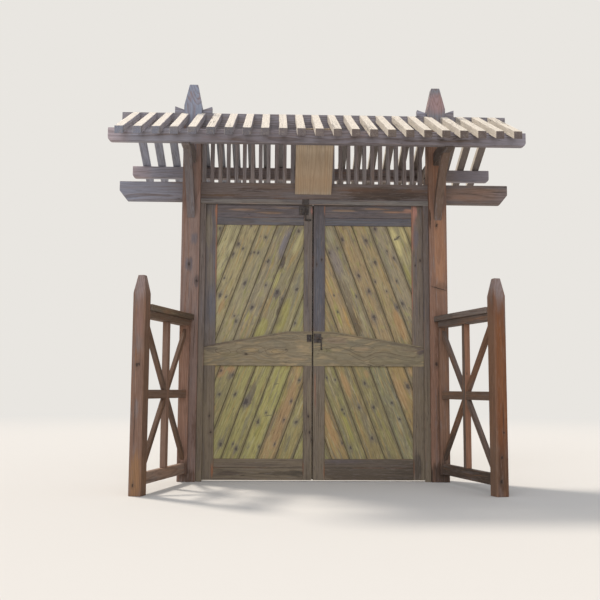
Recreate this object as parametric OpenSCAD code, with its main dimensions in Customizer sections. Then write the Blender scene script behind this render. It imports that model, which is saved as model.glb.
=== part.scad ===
// A timber lychgate: two posts carry an open roof of slatted rafters over a pair of
// diagonally boarded doors, and two cross-braced wings flank the path in front of it.
// X runs along the gate, Y runs back through it and Z is up. The origin lies at ground
// level, in the middle of the ground that the whole gate covers. The modules draw the
// gate with y = 0 on the line of the main posts, and in_frame() moves it from there.

/* [Main posts] */
// Side of each square main post
post_w = 140; // [110:1:180]
// Clear width between the two main posts
post_gap = 1800; // [1500:5:2200]
// Height of a post up to the foot of its tapered head
post_h = 2938; // [2800:1:3100]
// Height of the tapered head
finial_h = 182; // [80:1:220]
// Side of the flat on top of the tapered head
finial_flat = 66; // [30:1:90]

/* [Tie beam] */
// Height of the tie beam's underside above the ground
tie_z = 2173; // [2150:1:2200]
// Depth of the tie beam
tie_h = 152; // [120:1:170]
// Thickness of the tie beam
tie_t = 60; // [50:1:80]
// Half length of the tie beam
tie_half = 1538; // [1300:1:1600]
// Width of the splay cut off the lower corners of the tie beam
tie_cut_x = 60; // [30:1:90]
// Height of that splay
tie_cut_z = 76; // [30:1:100]

/* [Roof] */
// Distance from a post's shoulder down to the top of the ridge beam
ridge_drop = 50; // [20:1:120]
// Depth of the ridge beam
ridge_h = 140; // [100:1:160]
// Thickness of the ridge beam
ridge_t = 50; // [40:1:70]
// Half length of the ridge beam
ridge_half = 1534; // [1440:1:1600]
// Size of the splay cut off the ridge beam's lower corners
ridge_cut = 50; // [20:1:70]
// Depth of each plate
plate_h = 100; // [80:1:130]
// How deep the rafters are let into a plate at its outer face
plate_notch = 12; // [4:1:20]
// Thickness of each plate
plate_t = 50; // [40:1:60]
// Distance from the ridge line to the outer face of each plate
plate_y = 555; // [450:1:650]
// Half length of the plates
plate_half = 1534; // [1455:1:1600]
// Radius of the rounded lower corners of the plates
plate_round = 30; // [10:1:45]
// Number of rafters on each slope
rafter_n = 23; // [15:2:23]
// Spacing of the rafters
rafter_pitch = 129; // [110:1:132]
// Width of a rafter
rafter_w = 60; // [40:1:70]
// Depth of a rafter, square to its slope
rafter_d = 50; // [38:1:60]
// Slope of the roof
roof_angle = 25.5; // [20:0.1:28]
// Distance from the ridge line to the rafter tails
tail_y = 750; // [640:1:800]

/* [Cross arms] */
// Thickness of the arms that cross the posts
arm_t = 60; // [40:1:80]
// Depth of an arm
arm_h = 102; // [80:1:112]
// Thickness of the lip that an arm keeps under each plate
arm_lip = 20; // [10:1:40]
// How far the lip ends behind the plate's outer face
arm_back = 8; // [0:1:40]

/* [Knee braces] */
// Height of a knee brace's foot on its post
knee_foot = 2029; // [1960:1:2080]
// Distance from the ridge line to a knee brace's far end under the arm
knee_reach = 440; // [320:1:480]
// Radius of the hollow curve under a knee brace
knee_r = 1115; // [900:5:1500]
// Depth of a knee brace, square to its curve
knee_d = 55; // [40:1:75]

/* [Saddles] */
// Length of a saddle block beside its post
saddle_len = 78; // [40:1:85]
// Height of a saddle block at the post
saddle_low = 26; // [15:1:35]
// Height of a saddle block at its outer end
saddle_high = 54; // [30:1:70]

/* [Transom bars] */
// Spacing of the bars
bar_pitch = 63.7; // [45:0.1:120]
// Width of a bar
bar_w = 30; // [15:1:38]
// Depth of a bar, front to back
bar_d = 50; // [20:1:50]
// Distance from the right post to the middle of the nearest bar
bar_first = 57; // [25:1:60]

/* [Signboard] */
// Width of the blank signboard
sign_w = 288; // [200:1:400]
// Offset of the signboard from the middle of the gate
sign_x = -13; // [-60:1:60]
// Thickness of the signboard, measured upright
sign_t = 34; // [20:1:45]
// Height at which its lower edge meets the tie beam
sign_low = 2234; // [2200:1:2270]
// Lean of the signboard from upright
sign_lean = 42; // [35:0.5:50]

/* [Door frame] */
// Width of each jamb, behind the stop strips
jamb_w = 29; // [20:1:50]
// Width of the stop strips, which the doors close behind
stop_w = 45; // [42:1:60]
// Thickness of the stop strips
stop_t = 20; // [12:1:30]
// Height of the head strip
head_h = 40; // [30:1:45]
// Thickness of the head strip
head_t = 22; // [15:1:30]
// How far the head strip hangs below the tie beam
head_drop = 24; // [18:1:25]

/* [Doors] */
// Thickness of a door
door_t = 45; // [36:1:50]
// Gap between the doors' front face and the stop strips
stop_gap = 6; // [5:1:10]
// Gap under the doors
door_floor = 10; // [6:1:40]
// Gap between a door's top and the tie beam
door_head_gap = 12; // [6:1:16]
// Gap between a door and its jamb
hinge_gap = 8; // [7:1:12]
// Gap between the two doors
meet_gap = 10; // [8:1:16]
// Offset of the gap between the doors from the middle of the gate
meet_x = -12; // [-30:1:30]
// Width of the hinge stiles
stile_w = 95; // [60:1:110]
// Width of the left door's meeting stile
meet_w_left = 67; // [50:1:100]
// Width of the right door's meeting stile
meet_w_right = 90; // [60:1:110]
// Height of the top rail
top_rail_h = 173; // [90:1:200]
// Height of the bottom rail
bottom_rail_h = 160; // [100:1:220]
// Height of the lock rail's underside above the ground
lock_z = 880; // [800:1:950]
// Height of the lock rail at the meeting stile
lock_h = 262; // [200:1:300]
// Height of the lock rail at the hinge stile
lock_low = 146; // [110:1:180]
// Length of the level top of the left door's lock rail
lock_flat_left = 195; // [120:1:260]
// Length of the level top of the right door's lock rail
lock_flat_right = 153; // [120:1:260]
// How deep the lock rail is let into the stiles
lock_lap = 15; // [8:1:20]
// Thickness of the diagonal boards
board_t = 18; // [12:1:22]
// How far the boards lie behind the door's face
board_back = 12; // [8:1:16]
// Width of a diagonal board
board_w = 129; // [90:1:160]
// Lean of the boards from upright, towards the middle of the gate
board_lean = 20.2; // [10:0.1:30]
// Distance from the middle of the gate to a board joint at the top of the upper panels
joint_top = 157; // [90:1:220]
// The same at the foot of the left door's lower panel
joint_left = 161; // [90:1:220]
// The same at the foot of the right door's lower panel
joint_right = 139; // [90:1:220]
// Width of the groove between two boards
board_groove = 5; // [3:1:8]

/* [Door furniture] */
// Height of a hinge barrel
hinge_h = 100; // [80:1:130]
// Diameter of a hinge barrel
hinge_d = 13; // [12:0.5:14]
// Diameter of a hinge pin
hinge_pin = 6; // [4:0.5:7]
// Thickness of a hinge plate
hinge_plate = 2; // [1.5:0.5:2.5]
// Width of a hinge plate from the pin's line
hinge_leaf = 34; // [20:1:50]
// Clearance between a pin and its knuckle, and between two knuckles
hinge_play = 0.5; // [0.3:0.1:0.8]
// Distance from the door's ends to the middle of the outer hinges
hinge_inset = 260; // [160:5:400]
// Height of the latch above the ground
latch_z = 1096; // [1060:1:1100]
// Width of the latch plate
latch_w = 58; // [40:1:70]
// Height of the latch plate
latch_h = 70; // [50:1:80]
// Distance of the latch and its keeper from the doors' meeting edges
latch_edge = 4; // [2:1:10]
// Thickness of the door furniture's plates
plate_iron = 5; // [3:1:7]
// Height of the latch bar
latch_bar = 12; // [8:1:18]
// How far the latch bar stands out from its plate
latch_out = 14; // [8:1:20]
// Length of the drop handle
drop_len = 82; // [50:1:100]
// Thickness of the drop handle
drop_d = 9; // [6:0.5:14]
// Width of the latch keeper
keeper_w = 36; // [24:1:60]
// Height of the latch keeper
keeper_h = 56; // [30:1:70]
// Width of the top bolt's plate
bolt_w = 76; // [50:1:90]
// Length of the top bolt
bolt_len = 112; // [90:1:200]
// Length of the top bolt's bent handle
bolt_turn = 44; // [25:1:50]
// Height of the top bolt's plate
bolt_h = 68; // [50:1:100]
// Gap between the drawn bolt's plate and the head strip
bolt_gap = 7; // [6:1:20]
// Diameter of the top bolt
bolt_d = 13; // [8:0.5:20]
// Distance of the top bolt from the left door's meeting edge
bolt_inset = 56; // [50:1:120]
// Width of the bolt keeper on the head strip
head_keeper_w = 54; // [30:1:80]

/* [Wings] */
// Angle by which each wing opens outward from the path
wing_angle = 15; // [0:0.5:25]
// Length of a wing between its ledger and its post
wing_run = 746; // [600:2:900]
// Side of each square wing post
wing_post_w = 89; // [70:1:110]
// Height of a wing post up to the foot of its tapered head
wing_post_h = 1341; // [1300:1:1400]
// Height of a wing post's tapered head
wing_finial_h = 122; // [60:1:150]
// Side of the flat on a wing post's head
wing_flat = 45; // [20:1:60]
// Width of the ledger on the main post
ledger_w = 76; // [60:1:100]
// Thickness of the ledger
ledger_t = 38; // [25:1:60]
// Distance of the ledger's outer edge from the post's outer face
ledger_inset = 4; // [0:1:30]
// Height of the ledger's foot above the ground
ledger_z = 60; // [20:1:64]
// Height of the cap rail's top
cap_top = 1271; // [1240:1:1290]
// Height of the cap rail
cap_h = 42; // [25:1:50]
// Width of the cap rail
cap_w = 115; // [90:1:140]
// Height of the top rail under the cap
top_h = 48; // [30:1:60]
// Width of the top rail under the cap
top_w = 86; // [60:1:89]
// Thickness of the middle rail, bottom rail and muntin
rail_t = 40; // [30:1:60]
// Height of the middle rail's underside above the ground
mid_z = 632; // [560:1:700]
// Height of the middle rail
mid_h = 61; // [40:1:90]
// Height of the bottom rail's underside above the ground
bottom_z = 65; // [65:1:120]
// Height of the bottom rail
bottom_h = 78; // [50:1:110]
// Width of the upright muntin
muntin_w = 49; // [35:1:70]
// Width of a brace, square to its length
brace_w = 38; // [25:1:60]
// Thickness of a brace
brace_t = 30; // [18:1:38]
// Distance of a brace's centre from the corner of the wing's frame at the wing post
brace_post = 0; // [0:1:90]
// The same at the ledger
brace_ledger = 55; // [0:1:120]

/* [Hidden] */
$fn = 48;
wing_reach = (wing_run + wing_post_w) * cos(wing_angle) + wing_post_w / 2 * sin(wing_angle);
frame_y = (post_w / 2 + ledger_t + wing_reach - tail_y) / 2;
post_x = post_gap / 2 + post_w / 2;
post_top = post_h + finial_h;
ridge_top = post_h - ridge_drop;
plate_in = plate_y - plate_t;
arm_end = plate_y - arm_back;
rafter_rise = rafter_d / cos(roof_angle);
ridge_z = ridge_top - ridge_h;
plate_z = rafter_under(plate_y) + plate_notch - plate_h;
arm_z = plate_z - arm_lip;
knee_run = knee_reach - post_w / 2;
knee_rise = arm_z - knee_foot;
knee_chord = norm([knee_run, knee_rise]);
knee_sag = sqrt(knee_r * knee_r - knee_chord * knee_chord / 4) / knee_chord;
knee_y = (knee_reach + post_w / 2) / 2 + knee_sag * knee_rise;
knee_z = (arm_z + knee_foot) / 2 - knee_sag * knee_run;
tie_top = tie_z + tie_h;
head_z = tie_z - head_drop;
head_front = -tie_t / 2 - head_t;
bar_n = floor((post_gap - bar_first - bar_w / 2) / bar_pitch) + 1;
jamb_x = post_gap / 2 - jamb_w;
door_x = jamb_x - hinge_gap;
door_y = -tie_t / 2 + stop_gap;
door_top = tie_z - door_head_gap;
door_back = door_y + door_t;
pin_x = jamb_x - hinge_gap / 2;
pin_y = door_back + hinge_play + hinge_d / 2;
ledger_x = post_x + post_w / 2 - ledger_inset - ledger_w / 2;
ledger_y = -post_w / 2 - ledger_t;
cap_z = cap_top - cap_h;
top_z = cap_z - top_h;
bottom_top = bottom_z + bottom_h;
brace_rise = top_z - bottom_top - brace_post - brace_ledger;
cross_z = (top_z + bottom_top) / 2;
cross_y = -wing_run * (1 - (cross_z - bottom_top - brace_post) / brace_rise);
hinge_z = [door_floor + hinge_inset, (door_floor + door_top) / 2, door_top - hinge_inset];

// Moves the gate from the line of its main posts to the origin
module in_frame() {
    translate([0, frame_y, 0]) children();
}

// Puts its children on the left side, as the mirror image of the right side
module on_side(side) {
    if (side < 0) mirror([1, 0, 0]) children();
    else children();
}

// Extrudes an outline drawn in X and Z along Y, centred on y = 0
module along_y(depth) {
    rotate([90, 0, 0]) linear_extrude(height = depth, center = true) children();
}

// Extrudes an outline drawn in Y and Z along X, centred on x = 0
module along_x(width) {
    rotate([90, 0, 90]) linear_extrude(height = width, center = true) children();
}

// Upright of a square post that tapers to a flat above its shoulder
module taper_outline(w, h, head, flat) {
    polygon([[-w / 2, 0], [w / 2, 0], [w / 2, h], [flat / 2, h + head], [-flat / 2, h + head], [-w / 2, h]]);
}

module tapered_post(w, h, head, flat) {
    intersection() {
        along_y(w) taper_outline(w, h, head, flat);
        along_x(w) taper_outline(w, h, head, flat);
    }
}

// Main posts, mortised for the tie beam, the arms and the ridge beam
module main_post(side) {
    color("#7a5c4c") on_side(side) translate([post_x, 0, 0]) difference() {
        tapered_post(post_w, post_h, finial_h, finial_flat);
        translate([-post_w, -tie_t / 2, tie_z]) cube([2 * post_w, tie_t, tie_h]);
        translate([-post_w, -ridge_t / 2, ridge_z]) cube([2 * post_w, ridge_t, ridge_h]);
        translate([-arm_t / 2, -post_w, arm_z]) cube([arm_t, 2 * post_w, arm_h]);
    }
}

// Outline of a beam with splayed lower corners
module splayed_outline(half, z0, h, cut_x, cut_z) {
    polygon([[-half + cut_x, z0], [half - cut_x, z0], [half, z0 + cut_z], [half, z0 + h],
        [-half, z0 + h], [-half, z0 + cut_z]]);
}

module tie_beam() {
    color("#6b5d55") along_y(tie_t) splayed_outline(tie_half, tie_z, tie_h, tie_cut_x, tie_cut_z);
}

module ridge_beam() {
    color("#6b5d55") along_y(ridge_t) splayed_outline(ridge_half, ridge_z, ridge_h, ridge_cut, ridge_cut);
}

// Outline of a plate, with its lower corners rounded
module plate_outline() {
    translate([-plate_half, plate_z + plate_round]) square([2 * plate_half, plate_h - plate_round]);
    translate([-plate_half + plate_round, plate_z]) square([2 * (plate_half - plate_round), plate_h]);
    for (s = [-1, 1]) translate([s * (plate_half - plate_round), plate_z + plate_round])
        circle(r = plate_round);
}

// A plate in front of or behind the posts, notched for its rafters
module plate(side) {
    color("#75665c") difference() {
        translate([0, side * (plate_y - plate_t / 2), 0]) along_y(plate_t) plate_outline();
        rafter_row(side);
    }
}

// Height of a rafter's top face at a distance from the ridge line
function rafter_top(y) = ridge_top - (y - ridge_t / 2) * tan(roof_angle);

// One rafter, cut plumb at the ridge and at its tail
module rafter_shape(side) {
    y0 = ridge_t / 2;
    along_x(rafter_w) polygon([[side * y0, rafter_top(y0)], [side * tail_y, rafter_top(tail_y)],
        [side * tail_y, rafter_top(tail_y) - rafter_rise], [side * y0, rafter_top(y0) - rafter_rise]]);
}

module rafter_row(side) {
    for (i = [0 : rafter_n - 1])
        translate([(i - (rafter_n - 1) / 2) * rafter_pitch, 0, 0]) rafter_shape(side);
}

// The rafters of one slope, notched round the posts
module rafters(side) {
    color("#9a8672") difference() {
        rafter_row(side);
        for (s = [-1, 1]) translate([s * post_x - post_w / 2, -post_w / 2, 0])
            cube([post_w, post_w, post_top]);
    }
}

// An arm through each post, its ends cut down to carry the plates
module cross_arms() {
    color("#5f5048") for (side = [-1, 1]) translate([side * post_x, 0, 0]) along_x(arm_t)
        difference() {
            translate([-arm_end, arm_z]) square([2 * arm_end, arm_h]);
            for (y = [-plate_y, plate_in]) translate([y, plate_z]) square([plate_t, plate_h]);
        }
}

// One curved brace from a post's face up to the underside of its arm
module knee_brace() {
    along_x(arm_t) intersection() {
        difference() {
            translate([knee_y, knee_z]) circle(r = knee_r + knee_d, $fn = 192);
            translate([knee_y, knee_z]) circle(r = knee_r, $fn = 192);
        }
        translate([post_w / 2, knee_foot]) square([knee_run, knee_rise]);
    }
}

module knee_braces() {
    color("#56463d") for (side = [-1, 1]) for (turn = [0, 180])
        translate([side * post_x, 0, 0]) rotate([0, 0, turn]) knee_brace();
}

// Two wedge blocks on the ridge beam at each post, one on each side of it
module saddles() {
    color("#6f655f") for (side = [-1, 1]) translate([side * post_x, 0, 0]) along_y(ridge_t)
        for (s = [-1, 1]) polygon([[s * post_w / 2, ridge_top],
            [s * (post_w / 2 + saddle_len), ridge_top],
            [s * (post_w / 2 + saddle_len), ridge_top + saddle_high],
            [s * post_w / 2, ridge_top + saddle_low]]);
}

module transom_bars() {
    color("#6a564b") for (i = [0 : bar_n - 1])
        translate([post_gap / 2 - bar_first - i * bar_pitch - bar_w / 2, -bar_d / 2, tie_top])
            cube([bar_w, bar_d, ridge_z - tie_top]);
}

// Height of the rafters' underside at a distance from the ridge line
function rafter_under(y) = rafter_top(y) - rafter_rise;

// Blank board that leans from the rafters' underside down to the tie beam's face
module sign_board() {
    y0 = tie_t / 2;
    y1 = tail_y;
    z1 = sign_low + (y1 - y0) / tan(sign_lean);
    color("#a5835a") translate([sign_x, 0, 0]) along_x(sign_w) difference() {
        polygon([[-y0, sign_low], [-y0, sign_low + sign_t], [-y1, z1 + sign_t], [-y1, z1]]);
        polygon([[0, rafter_under(0)], [-y1, rafter_under(y1)], [-y1, 2 * z1], [0, 2 * z1]]);
    }
}

module jambs() {
    color("#6f5d52") for (side = [-1, 1]) on_side(side) translate([jamb_x, -tie_t / 2, 0])
        cube([jamb_w, door_back + tie_t / 2, tie_z]);
}

// Upright strips in front of the jambs, which cover the doors' hinge edges
module stop_strips() {
    color("#6f5d52") for (side = [-1, 1]) on_side(side)
        translate([post_gap / 2 - stop_w, -tie_t / 2 - stop_t, 0]) cube([stop_w, stop_t, head_z]);
}

module head_strip() {
    color("#7d6c5f") translate([-post_gap / 2, head_front, head_z]) cube([post_gap, head_t, head_h]);
}

// Inner edge of a door's meeting side, measured from the middle of the gate
function meet_edge(side) = side * meet_x + meet_gap / 2;
function meet_w(side) = side < 0 ? meet_w_left : meet_w_right;
// A door is drawn on the right side and mirrored for the left one, where the offset of
// the gap between the doors changes sign
function panel_in(side) = meet_edge(side) + meet_w(side);
panel_out = door_x - stile_w;

// Outline of the lock rail: level by the meeting stile, then falling to the hinge stile
module lock_outline(side) {
    m = meet_edge(side);
    flat = side < 0 ? lock_flat_left : lock_flat_right;
    polygon([[m, lock_z], [door_x, lock_z], [door_x, lock_z + lock_low],
        [m + flat, lock_z + lock_h], [m, lock_z + lock_h]]);
}

// The stretch of the lock rail that is let into the faces of the stiles
module lock_front(side) {
    translate([0, door_y + lock_lap / 2, 0]) along_y(lock_lap) lock_outline(side);
}

module stile(x, w) {
    translate([x, door_y, door_floor]) cube([w, door_t, door_top - door_floor]);
}

module door_stiles(side) {
    color("#6e5b4e") on_side(side) difference() {
        union() {
            stile(meet_edge(side), meet_w(side));
            stile(panel_out, stile_w);
        }
        lock_front(side);
    }
}

module door_rail(side, z, h) {
    translate([panel_in(side), door_y, z]) cube([panel_out - panel_in(side), door_t, h]);
}

module door_rails(side) {
    color("#665447") on_side(side) {
        door_rail(side, door_floor, bottom_rail_h);
        door_rail(side, door_top - top_rail_h, top_rail_h);
        lock_front(side);
        intersection() {
            translate([0, door_y + door_t / 2, 0]) along_y(door_t) lock_outline(side);
            door_rail(side, lock_z, lock_h);
        }
    }
}

// Grooves between the diagonal boards of a panel, on its front and its back, where one
// joint crosses the height z at the distance x from the middle of the gate
module board_grooves(x, z, run) {
    step = board_w / cos(board_lean);
    for (i = [-ceil(run / step) : ceil((panel_out + run - x) / step)])
        for (y = [door_y + board_back, door_y + board_back + board_t])
            translate([x + i * step, y, z]) rotate([0, -board_lean, 0]) rotate([0, 0, 45])
                translate([-board_groove / 2, -board_groove / 2, -door_top])
                    cube([board_groove, board_groove, 2 * door_top]);
}

// A panel of diagonal boards between two heights
module board_panel(side, z0, z1, x, z) {
    difference() {
        translate([panel_in(side), door_y + board_back, z0])
            cube([panel_out - panel_in(side), board_t, z1 - z0]);
        board_grooves(x, z, (z1 - z0) * tan(board_lean));
    }
}

module door_boards(side) {
    z0 = door_floor + bottom_rail_h;
    z1 = door_top - top_rail_h;
    color("#77693f") on_side(side) {
        board_panel(side, z0, lock_z, side < 0 ? joint_left : joint_right, z0);
        difference() {
            board_panel(side, lock_z, z1, joint_top, z1);
            translate([0, door_y + door_t / 2, 0]) along_y(2 * door_t) lock_outline(side);
        }
    }
}

// One knuckle of a hinge round the pin's line
module knuckle(z0, z1) {
    translate([pin_x, pin_y, z0]) cylinder(d = hinge_d, h = z1 - z0);
}

// Middle knuckle and plate of each hinge, carried by the door
module door_hinges(side) {
    third = hinge_h / 3;
    color("#2b2a2a") on_side(side) for (z = hinge_z) difference() {
        union() {
            knuckle(z - third / 2 + hinge_play, z + third / 2 - hinge_play);
            translate([door_x, pin_y - hinge_leaf, z - third / 2 + hinge_play])
                cube([hinge_plate, hinge_leaf, third - 2 * hinge_play]);
        }
        translate([pin_x, pin_y, z - hinge_h]) cylinder(d = hinge_pin + 2 * hinge_play, h = 2 * hinge_h);
    }
}

// Outer knuckles, pin and plate of each hinge, carried by the jambs
module jamb_hinges() {
    third = hinge_h / 3;
    color("#2b2a2a") for (side = [-1, 1]) on_side(side) for (z = hinge_z) {
        for (s = [-1, 1]) translate([0, 0, z + s * third]) {
            knuckle(-third / 2, third / 2);
            translate([jamb_x - hinge_plate, pin_y - hinge_leaf, -third / 2])
                cube([hinge_plate, hinge_leaf, third]);
        }
        translate([pin_x, pin_y, z - hinge_h / 2]) cylinder(d = hinge_pin, h = hinge_h);
    }
}

// Places the wing: its line starts in the middle of the ledger's face and runs along -Y
module on_wing(side) {
    on_side(side) translate([ledger_x, ledger_y, 0]) rotate([0, 0, wing_angle]) children();
}

// The space behind a wing's front face of ledger or post, which the rails are cut to
module behind(side, y) {
    on_side(side) translate([ledger_x - wing_run, y, 0]) cube([2 * wing_run, wing_run, cap_top * 2]);
}

module wing_post(side) {
    color("#7d5a48") on_wing(side) translate([0, -wing_run - wing_post_w / 2, 0])
        tapered_post(wing_post_w, wing_post_h, wing_finial_h, wing_flat);
}

module wing_ledger(side) {
    color("#7d5a48") on_side(side) translate([ledger_x - ledger_w / 2, ledger_y, ledger_z])
        cube([ledger_w, ledger_t, cap_z - ledger_z]);
}

// A level rail from the wing post to the ledger, or to the main post's face
module wing_rail(side, z, h, w, y_end) {
    difference() {
        on_wing(side) translate([-w / 2, -wing_run, z]) cube([w, wing_run + w + ledger_t * 2, h]);
        behind(side, y_end);
    }
}

module wing_cap(side) {
    color("#6b4c3c") wing_rail(side, cap_z, cap_h, cap_w, -post_w / 2);
}

module wing_top_rail(side) {
    color("#5f4638") wing_rail(side, top_z, top_h, top_w, ledger_y);
}

module wing_bottom_rail(side) {
    color("#5f4638") wing_rail(side, bottom_z, bottom_h, rail_t, ledger_y);
}

// The muntin stands where the braces cross
module muntin_block() {
    translate([-rail_t / 2, cross_y - muntin_w / 2, bottom_top]) cube([rail_t, muntin_w, top_z - bottom_top]);
}

module wing_middle_rail(side) {
    color("#5f4638") difference() {
        wing_rail(side, mid_z, mid_h, rail_t, ledger_y);
        on_wing(side) muntin_block();
    }
}

module wing_muntin(side) {
    color("#7d5a48") on_wing(side) muntin_block();
}

// A brace from one end of the wing to the other, in two lengths that stop at the muntin
module wing_brace(side, rise) {
    lean = atan2(brace_rise, wing_run);
    long = 2 * (wing_run + brace_rise);
    difference() {
        on_wing(side) intersection() {
            translate([0, cross_y, cross_z]) rotate([rise * lean, 0, 0])
                cube([brace_t, long, brace_w], center = true);
            translate([-rail_t / 2, -wing_run, bottom_top])
                cube([rail_t, wing_run + wing_post_w, top_z - bottom_top]);
        }
        on_wing(side) muntin_block();
        on_wing(side) translate([-rail_t, -wing_run, mid_z]) cube([2 * rail_t, 2 * wing_run, mid_h]);
        behind(side, ledger_y);
    }
}

module wing_braces(side) {
    color("#6b4c3c") {
        wing_brace(side, 1);
        wing_brace(side, -1);
    }
}

// Puts door furniture on the doors' front face, at a distance from a door's meeting edge
module on_face(side, inset, z) {
    translate([side * (meet_edge(side) + inset), door_y, z]) children();
}

// Latch plate with its lifting bar and drop handle, on the right door
module door_latch() {
    color("#1c1c1d") on_face(1, latch_edge, latch_z) {
        translate([0, -plate_iron, -latch_h / 2]) cube([latch_w, plate_iron, latch_h]);
        translate([0, -latch_out, -latch_bar / 2]) cube([latch_w, latch_out, latch_bar]);
        translate([latch_w, -latch_out / 2, 0]) rotate([-90, 0, 0])
            cylinder(d = latch_bar + drop_d, h = latch_out, center = true);
        translate([latch_w, -latch_out / 2, -drop_len]) cylinder(d = drop_d, h = drop_len);
        translate([latch_w, -latch_out / 2, -drop_len]) sphere(d = 1.6 * drop_d);
    }
}

module door_keeper() {
    color("#1c1c1d") on_face(-1, latch_edge, latch_z) {
        translate([-keeper_w, -plate_iron, -keeper_h / 2]) cube([keeper_w, plate_iron, keeper_h]);
        translate([-keeper_w * 0.75, -latch_out, -latch_bar]) difference() {
            cube([keeper_w / 2, latch_out, 2 * latch_bar]);
            translate([-keeper_w, plate_iron, latch_bar / 2]) cube([2 * keeper_w, latch_out, latch_bar]);
        }
    }
}

// Barrel bolt at the top of the left door, drawn back
module door_bolt() {
    color("#1c1c1d") on_face(-1, bolt_inset, head_z - bolt_gap) {
        translate([-bolt_w * 2 / 3, -plate_iron, -bolt_h - bolt_d / 4]) cube([bolt_w, plate_iron, bolt_h]);
        translate([0, -plate_iron - bolt_d / 4, -bolt_len]) {
            cylinder(d = bolt_d, h = bolt_len - bolt_d / 4);
            sphere(d = bolt_d);
            rotate([0, 90, 0]) cylinder(d = bolt_d, h = bolt_turn);
        }
    }
}

module head_keeper() {
    color("#1c1c1d") on_face(-1, bolt_inset, head_z)
        translate([-head_keeper_w / 2, head_front - door_y - plate_iron, 0])
            cube([head_keeper_w, plate_iron, head_h]);
}

in_frame() main_post(-1);  // left_post
in_frame() main_post(1);  // right_post
in_frame() tie_beam();
in_frame() ridge_beam();
in_frame() plate(-1);  // front_plate
in_frame() plate(1);  // rear_plate
in_frame() rafters(-1);  // front_rafters
in_frame() rafters(1);  // rear_rafters
in_frame() cross_arms();
in_frame() knee_braces();
in_frame() saddles();
in_frame() transom_bars();
in_frame() sign_board();
in_frame() jambs();
in_frame() jamb_hinges();
in_frame() stop_strips();
in_frame() head_strip();
in_frame() head_keeper();
in_frame() door_stiles(-1);  // left_door_stiles
in_frame() door_rails(-1);  // left_door_rails
in_frame() door_boards(-1);  // left_door_boards
in_frame() door_hinges(-1);  // left_door_hinges
in_frame() door_keeper();  // left_door_keeper
in_frame() door_bolt();  // left_door_bolt
in_frame() door_stiles(1);  // right_door_stiles
in_frame() door_rails(1);  // right_door_rails
in_frame() door_boards(1);  // right_door_boards
in_frame() door_hinges(1);  // right_door_hinges
in_frame() door_latch();  // right_door_latch
in_frame() wing_post(-1);  // left_wing_post
in_frame() wing_ledger(-1);  // left_wing_ledger
in_frame() wing_cap(-1);  // left_wing_cap
in_frame() wing_top_rail(-1);  // left_wing_top_rail
in_frame() wing_middle_rail(-1);  // left_wing_middle_rail
in_frame() wing_bottom_rail(-1);  // left_wing_bottom_rail
in_frame() wing_muntin(-1);  // left_wing_muntin
in_frame() wing_braces(-1);  // left_wing_braces
in_frame() wing_post(1);  // right_wing_post
in_frame() wing_ledger(1);  // right_wing_ledger
in_frame() wing_cap(1);  // right_wing_cap
in_frame() wing_top_rail(1);  // right_wing_top_rail
in_frame() wing_middle_rail(1);  // right_wing_middle_rail
in_frame() wing_bottom_rail(1);  // right_wing_bottom_rail
in_frame() wing_muntin(1);  // right_wing_muntin
in_frame() wing_braces(1);  // right_wing_braces
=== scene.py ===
import math
import random
import bmesh
import bpy
from mathutils import Matrix, Vector, noise


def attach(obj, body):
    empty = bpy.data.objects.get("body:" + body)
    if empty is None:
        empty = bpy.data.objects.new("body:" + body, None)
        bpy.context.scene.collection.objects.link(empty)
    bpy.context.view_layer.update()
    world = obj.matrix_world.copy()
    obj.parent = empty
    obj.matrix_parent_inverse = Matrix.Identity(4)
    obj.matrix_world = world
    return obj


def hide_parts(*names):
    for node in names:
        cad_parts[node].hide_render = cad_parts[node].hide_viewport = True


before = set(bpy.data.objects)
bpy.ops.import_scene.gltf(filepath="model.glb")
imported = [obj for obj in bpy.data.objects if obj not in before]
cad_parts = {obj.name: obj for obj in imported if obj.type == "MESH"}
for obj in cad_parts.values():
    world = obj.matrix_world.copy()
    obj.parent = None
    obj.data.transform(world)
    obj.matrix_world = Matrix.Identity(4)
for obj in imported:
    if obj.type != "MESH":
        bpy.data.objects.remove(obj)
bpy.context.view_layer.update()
print("frame loaded:", len(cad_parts), "nodes")

# Millimetres throughout, measured from the line of the main posts at ground level
gate = dict(
    lineY=88.0328,     # the posts' line lies this far behind the frame's origin
    postX=970,         # middle of each main post
    postHalf=70, tieZ=2173, tieTop=2325, ridgeZ=2748, ridgeTop=2888,
    beamHalf=25,       # half the thickness of the ridge beam and the plates
    plateY=530, plateHigh=100,
    notch=12,          # the plates' tops stand this far up in the rafters
    armLip=20,         # the plates' feet stand this far above the arms' undersides
    rafterDeep=50, roofSlope=25.5,
    clearHalf=900,     # from the middle to a post's inner face
)
slope = math.radians(gate["roofSlope"])
rafterDrop = gate["rafterDeep"] / math.cos(slope)
plateZ = gate["ridgeTop"] - gate["plateY"] * math.tan(slope) - rafterDrop + gate["notch"] - gate["plateHigh"]
armZ = plateZ - gate["armLip"]
toFront, toBack, toRight, toUp = (0, -1, 0), (0, 1, 0), (1, 0, 0), (0, 0, 1)


def paint(code):
    # sRGB hex as it is seen, turned to linear light
    parts = [int(code[i:i + 2], 16) / 255 for i in (1, 3, 5)]
    return [c / 12.92 if c <= 0.04045 else ((c + 0.055) / 1.055) ** 2.4 for c in parts] + [1]


def between(codes, share):
    # a colour on the way along a row of colour codes
    i = min(int(share * (len(codes) - 1)), len(codes) - 2)
    way = share * (len(codes) - 1) - i
    pairs = [(int(codes[i][k:k + 2], 16), int(codes[i + 1][k:k + 2], 16)) for k in (1, 3, 5)]
    return "#" + "".join("%02x" % round(a + (b - a) * way) for a, b in pairs)


def at(x, y, z):
    # millimetres from the posts' line, turned to metres in the frame
    return Vector((x, y + gate["lineY"], z)) / 1000


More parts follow.
